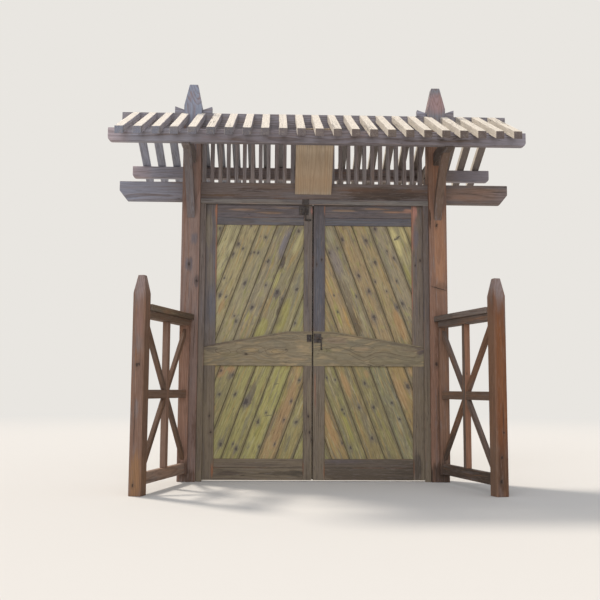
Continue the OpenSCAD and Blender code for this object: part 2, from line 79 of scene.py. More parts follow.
def newTree(owner):
    owner.use_nodes = True
    owner.node_tree.nodes.clear()
    return owner.node_tree


def addNode(tree, kind, settings={}, links={}):
    # a link comes from the output that is given, or from a node's first one
    node = tree.nodes.new("ShaderNode" + kind)
    for key, value in settings.items():
        if hasattr(node, str(key)):
            setattr(node, key, value)
        else:
            node.inputs[key].default_value = value
    for key, source in links.items():
        tree.links.new(getattr(source, "outputs", [source])[0], node.inputs[key])
    return node


def eased(low, high, top=1):
    # the settings of a soft rise from low to high
    return {"interpolation_type": "SMOOTHSTEP", "From Min": low, "From Max": high, "To Max": top}


# What each point of a piece carries for its material
pointData = {
    "grain": ("FLOAT_VECTOR", "vector"),    # along, across and depth, in metres
    "tint": ("FLOAT_COLOR", "color"),       # each board's own colour
    "stainAndPaintedLight": ("FLOAT_COLOR", "color"),      # marks at known places, their cover in alpha: stains, and painted light and shade
    "arris": ("FLOAT", "value"),            # 1 along the edges
    "rim": ("FLOAT", "value"),              # 1 at a board's sides, 0 further in
    "knot": ("FLOAT", "value"),             # distance from a knot, in its radii; cracks, grain lines and the painted shadow line on the lock rails use it too
}


def timberFinish(name, look):
    material = bpy.data.materials.new(name)
    tree = newTree(material)
    grain, tint, stainAndPaintedLight, arris, rim, knot = (addNode(tree, "Attribute", {"attribute_name": key}).outputs
                                            for key in pointData)
    place = addNode(tree, "TexCoord").outputs["Object"]
    layers = []     # what covers, how its share is read and its colour, laid one over another

    # growth rings round the pith, which sways along the log
    slow = addNode(tree, "Mapping", {"Scale": (look["bendPerM"], 6, 6)}, {"Vector": grain["Vector"]})
    bend = addNode(tree, "TexNoise", {"Scale": 1, "Detail": 2}, {"Vector": slow})
    sway = addNode(tree, "VectorMath", {"operation": "MULTIPLY_ADD", 1: (0, look["sway"], look["sway"])},
                   {0: bend.outputs["Color"], 2: grain["Vector"]})
    disc = addNode(tree, "VectorMath", {"operation": "MULTIPLY", 1: (0, 1, 1)}, {0: sway})
    radius = addNode(tree, "VectorMath", {"operation": "LENGTH"}, {0: disc}).outputs["Value"]
    turns = addNode(tree, "Math", {"operation": "MULTIPLY", 1: 1000 / look["ringMm"]}, {0: radius})
    year = addNode(tree, "Math", {"operation": "FRACT"}, {0: turns})
    lateUp, lateDown = (addNode(tree, "MapRange", eased(*span), {"Value": year}) for span in ((0.3, 0.85), (1, 0.88)))
    late = addNode(tree, "Math", {"operation": "MULTIPLY"}, {0: lateUp, 1: lateDown})

    # streaks 20 to 30 mm wide, flecks 9 by 60 mm, fibres about 4 mm wide, and what drying checks are cut from
    streak, fleck, fibre, split = (
        addNode(tree, "TexNoise", {"Scale": 1, "Detail": detail, "Roughness": rough},
                {"Vector": addNode(tree, "Mapping", {"Scale": scale}, {"Vector": source})})
        for scale, source, detail, rough in (((1.3, 38, 38), sway, 4, 0.62), ((16, 105, 105), grain["Vector"], 2, 0.6),
                                             ((5, 230, 230), grain["Vector"], 4, 0.65), ((1.6, 70, 70), sway, 1, 0.5)))

    # long patches of another colour: bleached, rubbed, mossy or greyed wood
    for number, (code, share, alongMm, acrossMm, start) in enumerate(look["patches"]):
        spread = addNode(tree, "Mapping", {"Location": (number * 3.7, number * 1.9, 0),
                                           "Scale": (1000 / alongMm, 1000 / acrossMm, 1000 / acrossMm)},
                         {"Vector": sway})
        patch = addNode(tree, "TexNoise", {"Scale": 1, "Detail": 3, "Roughness": 0.55}, {"Vector": spread})
        layers.append((patch, eased(start, start + 0.14, share), code))
    if look["footShow"]:                # painted light: lighter and warmer towards the ground, as light bounced up from the ground makes it look
        height = addNode(tree, "SeparateXYZ", links={0: place}).outputs["Z"]
        layers.append((height, eased(look["footTop"], look["footTop"] * 0.45, look["footShow"]), look["foot"]))

    # marks at known places, stains and painted light and shade, their edges drawn out along the grain
    frayed = addNode(tree, "Math", {"operation": "MULTIPLY_ADD", 1: 0.7}, {0: fleck, 2: streak})
    ragged = addNode(tree, "Math", {"operation": "MULTIPLY_ADD", 1: 1.3, 2: -1.1}, {0: frayed})
    cover = addNode(tree, "Math", {"operation": "ADD"}, {0: stainAndPaintedLight["Alpha"], 1: ragged})
    ringShare = addNode(tree, "Math", {"operation": "MULTIPLY", 1: look["ringShow"] * 2}, {0: late})
    rings = addNode(tree, "Math", {"operation": "MULTIPLY"}, {0: ringShare, 1: streak})
    layers += [(cover, eased(0.2, 0.8, 0.92), stainAndPaintedLight["Color"]), (rings, None, look["late"]),
               (streak, eased(0.5, 0.68, look["streakShow"]), look["streak"]),
               (fleck, eased(0.52, 0.7, look["fleckShow"]), look["pore"]),
               (fleck, eased(0.46, 0.3, look["fleckShow"]), look["dry"])]
    if look["paintedSunTop"]:               # painted sunlight: faces that look up, and faces that look left, are painted cream as if the sun lit them
        facing = addNode(tree, "SeparateXYZ", links={0: addNode(tree, "NewGeometry").outputs["Normal"]}).outputs
        upward = addNode(tree, "MapRange", eased(0.6, 0.85, look["paintedSunTop"]), {"Value": facing["Z"]})
        sideward = addNode(tree, "MapRange", eased(-0.6, -0.9, look["paintedSunSide"]), {"Value": facing["X"]})
        # flecks break up the painted sunlight
        worn = addNode(tree, "MapRange", {"From Min": 0.25, "From Max": 0.6, "To Min": 1, "To Max": 0.72},
                       {"Value": fleck})
        both = addNode(tree, "Math", {"operation": "MAXIMUM"}, {0: upward, 1: sideward})
        layers.append((addNode(tree, "Math", {"operation": "MULTIPLY"}, {0: both, 1: worn}), None, look["paintedSun"]))
    layers.append((fibre, {"From Min": 0.42, "From Max": 0.75, "To Max": look["fibreShow"]}, look["pore"]))

    # drying checks are thin dark slits; knots have a dark, ragged heart in a brown halo that follows the grain
    near = addNode(tree, "Math", {"operation": "COMPARE", 1: 0.5, 2: 0.012}, {0: split})
    where = addNode(tree, "MapRange", eased(0.54, 0.64, look["checkShow"]), {"Value": bend})
    check = addNode(tree, "Math", {"operation": "MULTIPLY"}, {0: near, 1: where})
    nibble = addNode(tree, "TexNoise", {"Scale": 75, "Detail": 3}, {"Vector": place})
    uneven = addNode(tree, "Math", {"operation": "MULTIPLY_ADD", 1: 1.5, 2: -0.75}, {0: nibble})
    away = addNode(tree, "Math", {"operation": "ADD"}, {0: knot["Fac"], 1: uneven})
    layers += [(check, None, look["pore"]), (away, eased(3, 1, look["haloShow"]), look["halo"]),
               (away, eased(1.35, 0.5, look["knotShow"]), look["knot"])]

    # sides of boards hold dirt; arrises are rubbed or dirty in stretches
    if look["rimShow"]:
        dirt = addNode(tree, "Math", {"operation": "ADD"}, {0: rim["Fac"], 1: ragged})
        layers.append((dirt, eased(0.25, 0.95, look["rimShow"]), look["rim"]))
    stretch = addNode(tree, "TexNoise", {"Scale": 5, "Detail": 3}, {"Vector": place})
    rubbed = addNode(tree, "MapRange", eased(look["edgeFrom"], look["edgeFrom"] + 0.1, look["edgeShow"]),
                     {"Value": stretch})
    layers.append((addNode(tree, "Math", {"operation": "MULTIPLY"}, {0: rubbed, 1: arris["Fac"]}), None, look["edge"]))

    colour = tint["Color"]
    for share, reading, over in layers:
        if reading:
            share = addNode(tree, "MapRange", reading, {"Value": share})
        settings, links = {"data_type": "RGBA"}, {0: share, 6: colour}
        if isinstance(over, str):
            settings[7] = paint(over)
        else:
            links[7] = over
        colour = addNode(tree, "Mix", settings, links).outputs[2]

    # height: hard latewood stands up, fibres furrow, checks cut in
    ridges = addNode(tree, "Math", {"operation": "MULTIPLY_ADD", 1: 0.35}, {0: late, 2: fibre})
    height = addNode(tree, "Math", {"operation": "SUBTRACT"}, {0: ridges, 1: check})
    bump = addNode(tree, "Bump", {"Strength": look["bump"], "Distance": 0.0012}, {"Height": height})
    rough = addNode(tree, "MapRange", {"To Min": look["rough"] - 0.08, "To Max": look["rough"] + 0.08},
                    {"Value": streak})
    shader = addNode(tree, "BsdfPrincipled", {"IOR": 1.5, "Specular IOR Level": look["gloss"]},
                     {"Base Color": colour, "Roughness": rough, "Normal": bump})
    addNode(tree, "OutputMaterial", links={"Surface": shader})
    return material


# What all the timber shares; each finish below changes what differs. Growth rings are 3 to 5 mm apart
# in the real wood and drawn 11 to 26 mm apart, because finer ones would vanish at this picture's scale.
# A patch is a colour, its share, its length and width in millimetres, and the noise level where it starts.
timberLook = dict(
    ringMm=11, ringShow=0.35, sway=0.05, bendPerM=1.1, late="#5d4a3a", streak="#8a6f55", streakShow=0.3,
    pore="#3d332c", dry="#a0948a", fleckShow=0.16, fibreShow=0.3, checkShow=0.7, knot="#2f2724", knotShow=0.85,
    halo="#55463c", haloShow=0.4, rimShow=0, edge="#8f8272", edgeShow=0.3, edgeFrom=0.5, paintedSunTop=0, footShow=0,
    rough=0.82, gloss=0.25, bump=0.55)

# Sawn larch posts, unpainted: red-brown wood that greys in patches, matt with raised grain
postLarch = timberFinish("sawnLarchPost", dict(
    timberLook, late="#6a4e3f", streak="#9a7058", dry="#a8988f", edge="#a8826b", edgeFrom=0.52,
    patches=[("#7d7675", 0.5, 330, 38, 0.54), ("#95705a", 0.45, 420, 26, 0.55), ("#5b463b", 0.35, 300, 22, 0.6)]))

# Sawn larch beams in the open: grey-brown, dull, with dark checks along the grain
beamLarch = timberFinish("sawnLarchBeam", dict(
    timberLook, late="#554840", streak="#86705f", dry="#9b9290", ringShow=0.45, sway=0.07, edge="#a3988e",
    edgeShow=0.4,
    patches=[("#7f7c80", 0.45, 380, 40, 0.52), ("#87664f", 0.35, 260, 24, 0.58), ("#4d4038", 0.35, 330, 26, 0.58)]))

# Sawn larch rafters: silver grey below, sawn and matt, with painted sunlight in cream on their tops and on their faces
# that look left
rafterLarch = timberFinish("sawnLarchRafter", dict(
    timberLook, late="#77706c", streak="#9a8d80", dry="#aba6a6", knotShow=0.6, paintedSun="#f3e9d8", paintedSunTop=0.97,
    paintedSunSide=0.85, fleckShow=0.2, patches=[("#77767c", 0.45, 240, 30, 0.52), ("#8f7a68", 0.35, 200, 20, 0.58)]))

# Planed larch door frame: slate-brown stain worn thin, orange where the arrises rub, with painted bounce light that
# makes it lighter and warmer near the ground
framePlaned = timberFinish("planedLarchFrame", dict(
    timberLook, late="#50463f", streak="#7c6d60", pore="#37302c", dry="#857c78", ringShow=0.4, rough=0.72,
    gloss=0.35, bump=0.45, edge="#a87a60", edgeShow=0.7, edgeFrom=0.52, fleckShow=0.26, foot="#80725c",
    footShow=0.85, footTop=1.3,
    patches=[("#625f66", 0.5, 420, 26, 0.5), ("#85705a", 0.4, 480, 16, 0.56), ("#4a413b", 0.4, 300, 22, 0.57)]))

# Planed lock rails: paler, wavy cathedral grain with a soft olive-grey bloom
railPlaned = timberFinish("planedLarchLockRail", dict(
    timberLook, late="#62573f", streak="#a08c6c", streakShow=0.35, dry="#aba083", ringMm=26, ringShow=0.26, sway=0.2,
    bendPerM=2.6, knotShow=0.6, rough=0.75, bump=0.4, edge="#5d5348", edgeShow=0.65, edgeFrom=0.25,
    patches=[("#7b7463", 0.6, 170, 44, 0.5), ("#ab9672", 0.6, 150, 40, 0.53), ("#7c735c", 0.4, 90, 26, 0.56)]))

# Knotty pine boards, sawn: tan wood with green algae and grey water stains, dark dirt in the joints
boardPine = timberFinish("knottyPineBoard", dict(
    timberLook, late="#74663f", streak="#ad9468", streakShow=0.22, ringMm=17, ringShow=0.22, sway=0.06,
    knot="#4c4543", knotShow=0.78, halo="#6d6764", haloShow=0.5, edge="#40362c", edgeShow=0.72, edgeFrom=0.0,
    dry="#c2b68e", pore="#544b3a", fleckShow=0.28, fibreShow=0.22, rim="#6a6150", rimShow=0.6, checkShow=0.5,
    patches=[("#7d7768", 0.65, 330, 30, 0.5), ("#b3935f", 0.55, 300, 20, 0.54), ("#96935a", 0.6, 200, 24, 0.55),
             ("#bfb48e", 0.5, 200, 22, 0.57), ("#6f685e", 0.5, 80, 30, 0.57), ("#a39f6a", 0.5, 60, 34, 0.56)]))

# Planed and oiled pine sign: greyed tan with a low sheen and upright grain
signPine = timberFinish("oiledPineSign", dict(
    timberLook, late="#8a6f52", streak="#b5946f", ringMm=14, ringShow=0.3, dry="#b8a387", pore="#5d4a38", rough=0.62,
    gloss=0.4, bump=0.3, edge="#5d4c3b", edgeShow=0.5, edgeFrom=0.35, knotShow=0.6, checkShow=0.2, fleckShow=0.12,
    patches=[("#8f8475", 0.5, 200, 34, 0.5), ("#b0855e", 0.35, 160, 22, 0.56), ("#c0ac90", 0.4, 180, 30, 0.56)]))

# Sawn larch wings: red-brown posts and darker rails, dull and a little furry
wingLarch = timberFinish("sawnLarchWing", dict(
    timberLook, late="#5d4334", streak="#9a7458", dry="#9b8b80", edge="#9a7860",
    patches=[("#7a7472", 0.45, 300, 34, 0.54), ("#9a6f50", 0.45, 380, 24, 0.55), ("#4f3b30", 0.35, 260, 24, 0.58)]))
print("timber finishes ready")


# A member is one length of timber, with worn edges, sliced so that wear and marks can vary along it
maker = dict(count=0, wear=0.5)     # members made so far, and how much of its arris a worn edge may lose


def member(corners, normal, thick, along, tint, arris=3.0, step=60.0, rows=0, groove=False, taper=None, tilt=0.02,
           marks=()):
    # corners are in the frame's metres; thick, arris, step and rows are in millimetres
    maker["count"] += 1
    chance = random.Random(maker["count"] * 7919)
    normal, along = Vector(normal).normalized(), Vector(along)
    along = (along - normal * along.dot(normal)).normalized()
    across = normal.cross(along)
    start, half = Vector(corners[0]), thick / 2000
    bm = bmesh.new()
    low = [bm.verts.new(Vector(c) - normal * half) for c in corners]
    high = [bm.verts.new(Vector(c) + normal * half) for c in corners]
    bm.faces.new(low[::-1])
    bm.faces.new(high)
    for i in range(len(low)):
        j = (i + 1) % len(low)
        bm.faces.new((low[i], low[j], high[j], high[i]))
    if taper:                       # narrows in the thickness too, above a height along the member
        for v in bm.verts:
            if (v.co - start).dot(along) > taper[0] / 1000:
                v.co -= normal * (v.co - start).dot(normal) * (1 - taper[1])
    bmesh.ops.recalc_face_normals(bm, faces=bm.faces)
    bm.normal_update()
    if arris:
        sharp = [e for e in bm.edges if e.calc_face_angle(0) > 0.3]
        bmesh.ops.bevel(bm, geom=sharp, offset=arris / 1000, offset_type="OFFSET", profile=0.5,
                        segments=1 if groove else 2, affect="EDGES", clamp_overlap=True)
    for direction, gap in ((along, step), (across, rows)):
        reach = [(v.co - start).dot(direction) for v in bm.verts]
        first, last = min(reach), max(reach)
        slices = int((last - first) * 1000 / gap) if gap else 0
        for i in range(1, slices):
            cut = start + direction * (first + (last - first) * i / slices)
            bmesh.ops.bisect_plane(bm, geom=bm.verts[:] + bm.edges[:] + bm.faces[:], plane_co=cut,
                                   plane_no=direction, dist=1e-6)
    bm.normal_update()
    bm.verts.ensure_lookup_table()
    arrisHere, moves = [], []
    for v in bm.verts:
        parts = sorted(abs(v.normal.dot(d)) for d in (normal, along, across))
        inFrom = half - abs((v.co - start).dot(normal))
        onArris = inFrom > 0.0004 if groove else parts[1] > 0.5
        arrisHere.append(1.0 if onArris else 0.0)
        uneven = noise.noise(v.co * 9 + Vector((maker["count"], 0, 0))) + 0.25
        rub = max(0.0, uneven) if onArris and not groove else 0.0
        moves.append(-v.normal * rub * arris * maker["wear"] / 1000)
    for v, move in zip(bm.verts, moves):
        v.co += move
    local = [Vector([(v.co - start).dot(d) for d in (along, across, normal)]) for v in bm.verts]
    made = dict(start=start, along=along, across=across, normal=normal, half=half, tint=paint(tint),
                pith=Vector((chance.uniform(0, 30), chance.uniform(-0.07, 0.07),
                             chance.choice((-1, 1)) * chance.uniform(0.03, 0.1))),
                lean=chance.uniform(-tilt, tilt), reach=[(min(c), max(c)) for c in zip(*local)],
                marks=[((spot - start).dot(along), (spot - start).dot(across), long / 1000, wide / 1000, paint(code),
                        share) for spot, long, wide, code, share in marks],
                verts=[], faces=[[v.index for v in f.verts] for f in bm.faces],
                grain=[], stainAndPaintedLight=[], arris=[], rim=[], knot=[])
    for v, p, edge in zip(bm.verts, local, arrisHere):
        addPoint(made, v.co.copy(), p, edge, 9.0)
    bm.free()
    return made


def addPoint(made, spot, p, arris, knot):
    # p is the point along, across and through the member; spot is where it stands
    made["verts"].append(spot)
    made["grain"].append(Vector((p.x, p.y + made["lean"] * p.x, p.z)) + made["pith"])
    made["arris"].append(arris)
    made["knot"].append(knot)
    first, last = made["reach"][1]
    made["rim"].append(max(0.0, 1 - min(p.y - first, last - p.y) / 0.03))
    colour, total, cover = [0, 0, 0], 0.0, 0.0
    for a, b, long, wide, code, share in made["marks"]:
        near = 1 - math.hypot((p.x - a) / long, (p.y - b) / wide)
        if near > 0:
            part = min(1, near * 1.8) * share
            colour = [c + part * d for c, d in zip(colour, code)]
            total += part
            cover += (1 - cover) * part
    made["stainAndPaintedLight"].append([c / total for c in colour] + [cover] if total else made["tint"][:3] + [0])


def onFace(made, spot, facing):
    # where a spot lies on the face of a member that looks in the direction facing
    side = 1 if made["normal"].dot(Vector(facing)) > 0 else -1
    delta = spot - made["start"]
    return delta.dot(made["along"]), delta.dot(made["across"]), side


def addOnFace(made, a, b, side, rise, knot, grainB):
    spot = (made["start"] + made["along"] * a + made["across"] * b
            + made["normal"] * side * (made["half"] + rise))
    addPoint(made, spot, Vector((a, grainB, made["half"] * side)), 0.0, knot)


def addKnot(made, spot, size, facing):
    # a shallow dome of rings; size is the knot's half width in millimetres
    a0, b0, side = onFace(made, spot, facing)
    chance = random.Random(int(a0 * 9973) * 31 + int(b0 * 7907))
    longer = chance.uniform(1.0, 1.35)
    rings = (0.0, 0.4, 0.75, 1.0, 1.3, 1.8, 2.5, 3.6)
    rise = (0.0009, 0.0009, 0.0007, 0.0006, 0.0006, 0.0005, 0.0003, -0.0003)
    sides, offEnd, offSide = 20, 0.006, 0.0055      # how far it stays off the member's ends and sides
    base = len(made["verts"])
    rough = [1 + chance.uniform(-0.16, 0.16) for _ in range(sides)]
    (aLow, aHigh), (bLow, bHigh) = made["reach"][:2]
    for k, up in zip(rings, rise):
        for i in range(1 if k == 0 else sides):
            turn = 2 * math.pi * i / sides
            da = k * (size / 1000) * (longer + 0.35 * k) * math.cos(turn) * rough[i]
            db = k * (size / 1000) * math.sin(turn) * rough[i]
            a = min(max(a0 + da, aLow + offEnd), aHigh - offEnd)
            b = min(max(b0 + db, bLow + offSide), bHigh - offSide)
            flow = 1 - 0.5 * math.exp(-(k / 1.4) ** 2)
            addOnFace(made, a, b, side, up, k, b0 + (b - b0) * flow)
    for ring in range(1, len(rings)):
        for i in range(sides):
            outer = base + 1 + (ring - 1) * sides
            inner, j = outer - sides, (i + 1) % sides
            quad = [base, outer + i, outer + j] if ring == 1 else [inner + i, outer + i, outer + j, inner + j]
            made["faces"].append(quad[::-1] if side < 0 else quad)


def addRibbon(made, rows, side, rise):
    # a strip on the face, three points wide, each given along, across and by its distance from a knot
    base = len(made["verts"])
    for a, b, knot in rows:
        addOnFace(made, a, b, side, rise, knot, b)
    for i in range(0, len(rows) - 3, 3):
        for k in (base + i, base + i + 1):
            quad = [k, k + 3, k + 4, k + 1]
            made["faces"].append(quad[::-1] if side < 0 else quad)


def addCrack(made, first, last, wide, facing):
    # a drying crack: a long thin lens, dark in the middle
    a0, b0, side = onFace(made, first, facing)
    a1, b1, side = onFace(made, last, facing)
    chance = random.Random(int(a0 * 9973) + int(b1 * 7907))
    length = math.hypot(a1 - a0, b1 - b0)
    sideA, sideB = -(b1 - b0) / length, (a1 - a0) / length
    steps, rows = 14, []
    for i in range(steps + 1):
        t = i / steps
        opening = wide / 1000 * (0.15 + math.sin(math.pi * t))
        wander = chance.uniform(-0.4, 0.4) * wide / 1000
        for off, knot in ((-1, 2.6), (0, 0.0), (1, 2.6)):
            rows.append((a0 + (a1 - a0) * t + sideA * (off * opening + wander),
                         b0 + (b1 - b0) * t + sideB * (off * opening + wander), knot))
    addRibbon(made, rows, side, 0.0007)


def addCracks(made, cracks, y):
    # each from and to, across the gate and in height, and its width
    for x0, z0, x1, z1, wide in cracks:
        addCrack(made, at(x0, y, z0), at(x1, y, z1), wide, toFront)


def addGrainAndShadowLine(made, spots, wide):
    # a dark line through given spots, a thin ribbon on the front face: a line of the grain, and also the painted
    # shadow line along a lock rail's top edge
    path = [onFace(made, spot, toFront) for spot in spots]
    rows = []
    for i, (a0, b0, side) in enumerate(path):
        before, after = path[max(i - 1, 0)], path[min(i + 1, len(path) - 1)]
        da, db = after[0] - before[0], after[1] - before[1]
        length = math.hypot(da, db)
        rows += [(a0 - db / length * off * wide / 1000, b0 + da / length * off * wide / 1000, 3.2 if off else 0.9)
                 for off in (-1, 0, 1)]
    addRibbon(made, rows, side, 0.0006)


def loopSpots(x, y, z, long, wide, tilt):
    # an uneven loop of grain round a spot
    chance = random.Random(int(x) * 31 + int(z))
    spots = []
    for i in range(25):
        turn = 2 * math.pi * i / 24
        swell = 1 if i in (0, 24) else chance.uniform(0.93, 1.07)
        px, pz = long * swell * math.cos(turn), wide * swell * math.sin(turn)
        spots.append(at(x + px * math.cos(tilt) - pz * math.sin(tilt), y,
                        z + px * math.sin(tilt) + pz * math.cos(tilt)))
    return spots


def randomKnots(made, count, facing, least, most, upTo=0.97):
    chance = random.Random(maker["count"] * 131 + count)
    (a0, a1), (b0, b1) = made["reach"][:2]
    for _ in range(count):
        a = a0 + (a1 - a0) * chance.uniform(0.03, upTo)
        b = b0 + (b1 - b0) * chance.uniform(0.25, 0.75)
        addKnot(made, made["start"] + made["along"] * a + made["across"] * b, chance.uniform(least, most), facing)


def marksAt(rows):
    # marks given across the gate and in height, with half their length and width, colour and cover
    return [(at(x, 0, z), long, wide, code, share) for x, z, long, wide, code, share in rows]


def putPiece(node, members, finish, name=None, body=None):
    # named after the node that it replaces, and on that node's body, unless told otherwise
    words = node.rstrip("s").title().replace("_", "")
    name = name or words[0].lower() + words[1:] + "Timber"
    body = body or (node.split("_door")[0] + "_door" if "_door" in node else "gate")
    mesh = bpy.data.meshes.new(name)
    verts, faces = [], []
    for m in members:
        faces += [[len(verts) + i for i in f] for f in m["faces"]]
        verts += m["verts"]
    mesh.from_pydata(verts, [], faces)
    for key, (kind, field) in pointData.items():
        values = []
        for m in members:
            rows = [m["tint"]] * len(m["verts"]) if key == "tint" else m[key]
            values += rows if field == "value" else [c for row in rows for c in row]
        mesh.attributes.new(key, kind, "POINT").data.foreach_set(field, values)
    mesh.materials.append(finish)
    obj = bpy.data.objects.new(name, mesh)
    bpy.context.collection.objects.link(obj)
    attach(obj, body)
    if node:
        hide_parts(node)


def faceOn(outline, y, thick, along, tint, normal=toFront, **more):
    # a member from its outline across the gate and in height
    return member([at(x, y, z) for x, z in outline], normal, thick, along, tint, **more)


def sideOn(outline, x, thick, along, tint, **more):
    # a member from its outline in depth and height
    return member([at(x, y, z) for y, z in outline], toRight, thick, along, tint, **more)


def bar(x0, x1, y0, y1, z0, z1, along, tint, **more):
    # a straight member from its two corners; its outline lies square to its thinnest side
    ends = dict(x=(x0, x1), y=(y0, y1), z=(z0, z1))
    thin = min((k for k in ends if k != along), key=lambda k: ends[k][1] - ends[k][0])
    (p0, p1), (q0, q1) = (ends[k] for k in ends if k != thin)
    corners = []
    for corner in ([p0, q0], [p1, q0], [p1, q1], [p0, q1]):
        corner.insert("xyz".index(thin), sum(ends[thin]) / 2)
        corners.append(at(*corner))
    axes = dict(x=toRight, y=toBack, z=toUp)
    return member(corners, axes[thin], ends[thin][1] - ends[thin][0], axes[along], tint, **more)


def sideBar(side, x0, x1, *rest, **more):
    return bar(*sorted((side * x0, side * x1)), *rest, **more)


def postOutline(x, half, headHalf, shoulder, tip):
    return [(x - half, 0), (x + half, 0), (x + half, shoulder), (x + headHalf, tip), (x - headHalf, tip),
            (x - half, shoulder)]


def arc(midX, midZ, radius, first, last, steps):
    turns = [first + (last - first) * i / steps for i in range(steps + 1)]
    return [(midX + radius * math.cos(t), midZ + radius * math.sin(t)) for t in turns]


def clipped(polygon, x0, x1, z0, z1):
    # the part of a flat polygon inside a rectangle
    for axis, limit, sign in ((0, x0, 1), (0, x1, -1), (1, z0, 1), (1, z1, -1)):
        kept = []
        for i, p in enumerate(polygon):
            q = polygon[(i + 1) % len(polygon)]
            pIn, qIn = ((c[axis] - limit) * sign >= 0 for c in (p, q))
            if pIn:
                kept.append(p)
            if pIn != qIn:
                t = (limit - p[axis]) / (q[axis] - p[axis])
                kept.append((p[0] + (q[0] - p[0]) * t, p[1] + (q[1] - p[1]) * t))
        polygon = kept
    spaced = [p for i, p in enumerate(polygon) if math.dist(p, polygon[i - 1]) > 2]
    return spaced if len(spaced) > 2 else []


posts = dict(
    height=2938, top=3120, flat=66, taperUp=50, tints={-1: "#8a756c", 1: "#8d6d5b"},
    knots={-1: [(-977, 1663, 8), (-917, 1533, 8), (-960, 1250, 6), (-985, 900, 7)],
           1: [(960, 1990, 8), (1000, 1230, 9), (945, 900, 10), (985, 640, 8)]},
    # from, to and width; the widest slants across the right post half way up
    cracks={-1: [(-925, 1230, -931, 930, 4), (-1000, 620, -994, 300, 4)],
            1: [(903, 1509, 1037, 1471, 6.5), (908, 2120, 910, 1960, 5)]},
    marks={-1: [
        (-939, 1866, 70, 40, "#716b6e", 0.85), (-977, 1663, 75, 45, "#6b666a", 0.85),
        (-917, 1531, 70, 26, "#655c5c", 0.9), (-970, 3060, 420, 400, "#929aab", 1),
        # the second mark on this line is painted light: a lighter strip on the post beside the knee brace, where the
        # brace's shadow falls
        (-987, 2560, 200, 66, "#8f8d95", 0.85), (-912, 2330, 300, 34, "#a4887d", 0.95),
        (-960, 1150, 278, 28, "#7d5c4a", 0.6), (-985, 690, 348, 24, "#8f6e5b", 0.6),
        (-914, 388, 278, 24, "#624d42", 0.7), (-960, 40, 90, 90, "#5d4c41", 0.75)
    ], 1: [
        (970, 3070, 400, 400, "#82848b", 1), (975, 2985, 105, 100, "#bd8f8a", 1),
        (1021, 2195, 139, 34, "#807069", 0.6), (984, 1794, 480, 66, "#a47a5e", 0.9),
        (955, 2450, 220, 50, "#9a7159", 0.7), (945, 1165, 417, 24, "#6f5444", 0.6),
        (1005, 932, 417, 24, "#8a6a56", 0.5), (968, 472, 348, 46, "#634f40", 0.6), (962, 30, 150, 120, "#463a31", 1),
        (908, 2049, 110, 12, "#45382f", 0.9), (990, 1500, 45, 90, "#665449", 0.95)
    ]},
)
for side, word in ((-1, "left"), (1, "right")):
    x, w, f = side * gate["postX"], gate["postHalf"], posts["flat"] / 2
    post = faceOn(postOutline(x, w, f, posts["height"], posts["top"]), 0, 2 * w, toUp, posts["tints"][side],
                  arris=4, taper=(posts["height"] + posts["taperUp"], f / w), tilt=0.01, rows=24, step=30,
                  marks=marksAt(posts["marks"][side]))
    for kx, kz, size in posts["knots"][side]:
        addKnot(post, at(kx, -w, kz), size, toFront)
    randomKnots(post, 5, toBack, 8, 13, upTo=0.88)
    addCracks(post, posts["cracks"][side], -w)
    putPiece(word + "_post", [post], postLarch)
print("posts done")


beams = dict(
    tieHalf=1538, tieCutX=60, tieCutZ=76, tieThick=60, ridgeHalf=1534, ridgeCut=50, plateHalf=1534, plateRound=30,
    armHalf=547, armHigh=102, armThick=60, saddleX=148, saddleHigh=54, saddleLow=26, saddleThick=50,
    tieTint="#776c68", ridgeTint="#98949a", rearPlateTint="#968b8a", frontPlateTint="#8c868c",
    armTints={-1: "#7f7674", 1: "#5f544e"}, kneeTints={-1: "#777071", 1: "#766256"}, saddleTint="#a09fab",
    tieCracks=[(-620, 2260, -380, 2252, 4), (500, 2222, 790, 2228, 4), (1120, 2262, 1340, 2250, 3.5)],
    tieMarks=[
        (-1420, 2250, 330, 160, "#9497a5", 1), (-1180, 2250, 300, 120, "#8b8a93", 0.95),
        (-700, 2215, 240, 20, "#66503f", 0.7), (-450, 2270, 280, 24, "#5a4a42", 0.7),
        (-300, 2205, 160, 16, "#7d5f4a", 0.6), (350, 2270, 280, 22, "#8a6650", 0.6),
        # the first mark on this line is painted shade: the middle of the tie beam darkened where the roof shades it
        (560, 2240, 420, 80, "#4f433c", 0.9), (820, 2280, 200, 20, "#8d6850", 0.5),
        (1250, 2250, 380, 90, "#8a7367", 0.9), (1330, 2285, 150, 14, "#a77c62", 0.7),
        (1200, 2215, 190, 14, "#a27960", 0.6), (1500, 2250, 90, 80, "#837a7c", 0.7)
    ],
    plateMarks=[
        # the first three marks, whitish towards the plates' left end, are a painted glare of light
        (-1480, 2540, 130, 160, "#b9a8ab", 1), (-1300, 2540, 260, 160, "#a2a3af", 0.98),
        (-1080, 2540, 300, 120, "#96949c", 0.9), (300, 2550, 300, 18, "#94725a", 0.5),
        (700, 2520, 300, 26, "#625651", 0.7), (1000, 2540, 200, 40, "#70655f", 0.7),
        (1430, 2540, 300, 150, "#98939b", 0.97)
    ],
)


def splayed(half, low, high, cutX, cutZ):
    # a beam whose lower corners are cut off
    return [(-half + cutX, low), (half - cutX, low), (half, low + cutZ), (half, high), (-half, high),
            (-half, low + cutZ)]


outline = splayed(beams["tieHalf"], gate["tieZ"], gate["tieTop"], beams["tieCutX"], beams["tieCutZ"])
tie = faceOn(outline, 0, beams["tieThick"], toRight, beams["tieTint"], arris=4, rows=25,
             marks=marksAt(beams["tieMarks"]))
randomKnots(tie, 7, toBack, 7, 12)
addCracks(tie, beams["tieCracks"], -beams["tieThick"] / 2)
putPiece("tie_beam", [tie], beamLarch)

outline = splayed(beams["ridgeHalf"], gate["ridgeZ"], gate["ridgeTop"], beams["ridgeCut"], beams["ridgeCut"])
ridge = faceOn(outline, 0, 2 * gate["beamHalf"], toRight, beams["ridgeTint"])
putPiece("ridge_beam", [ridge], beamLarch)

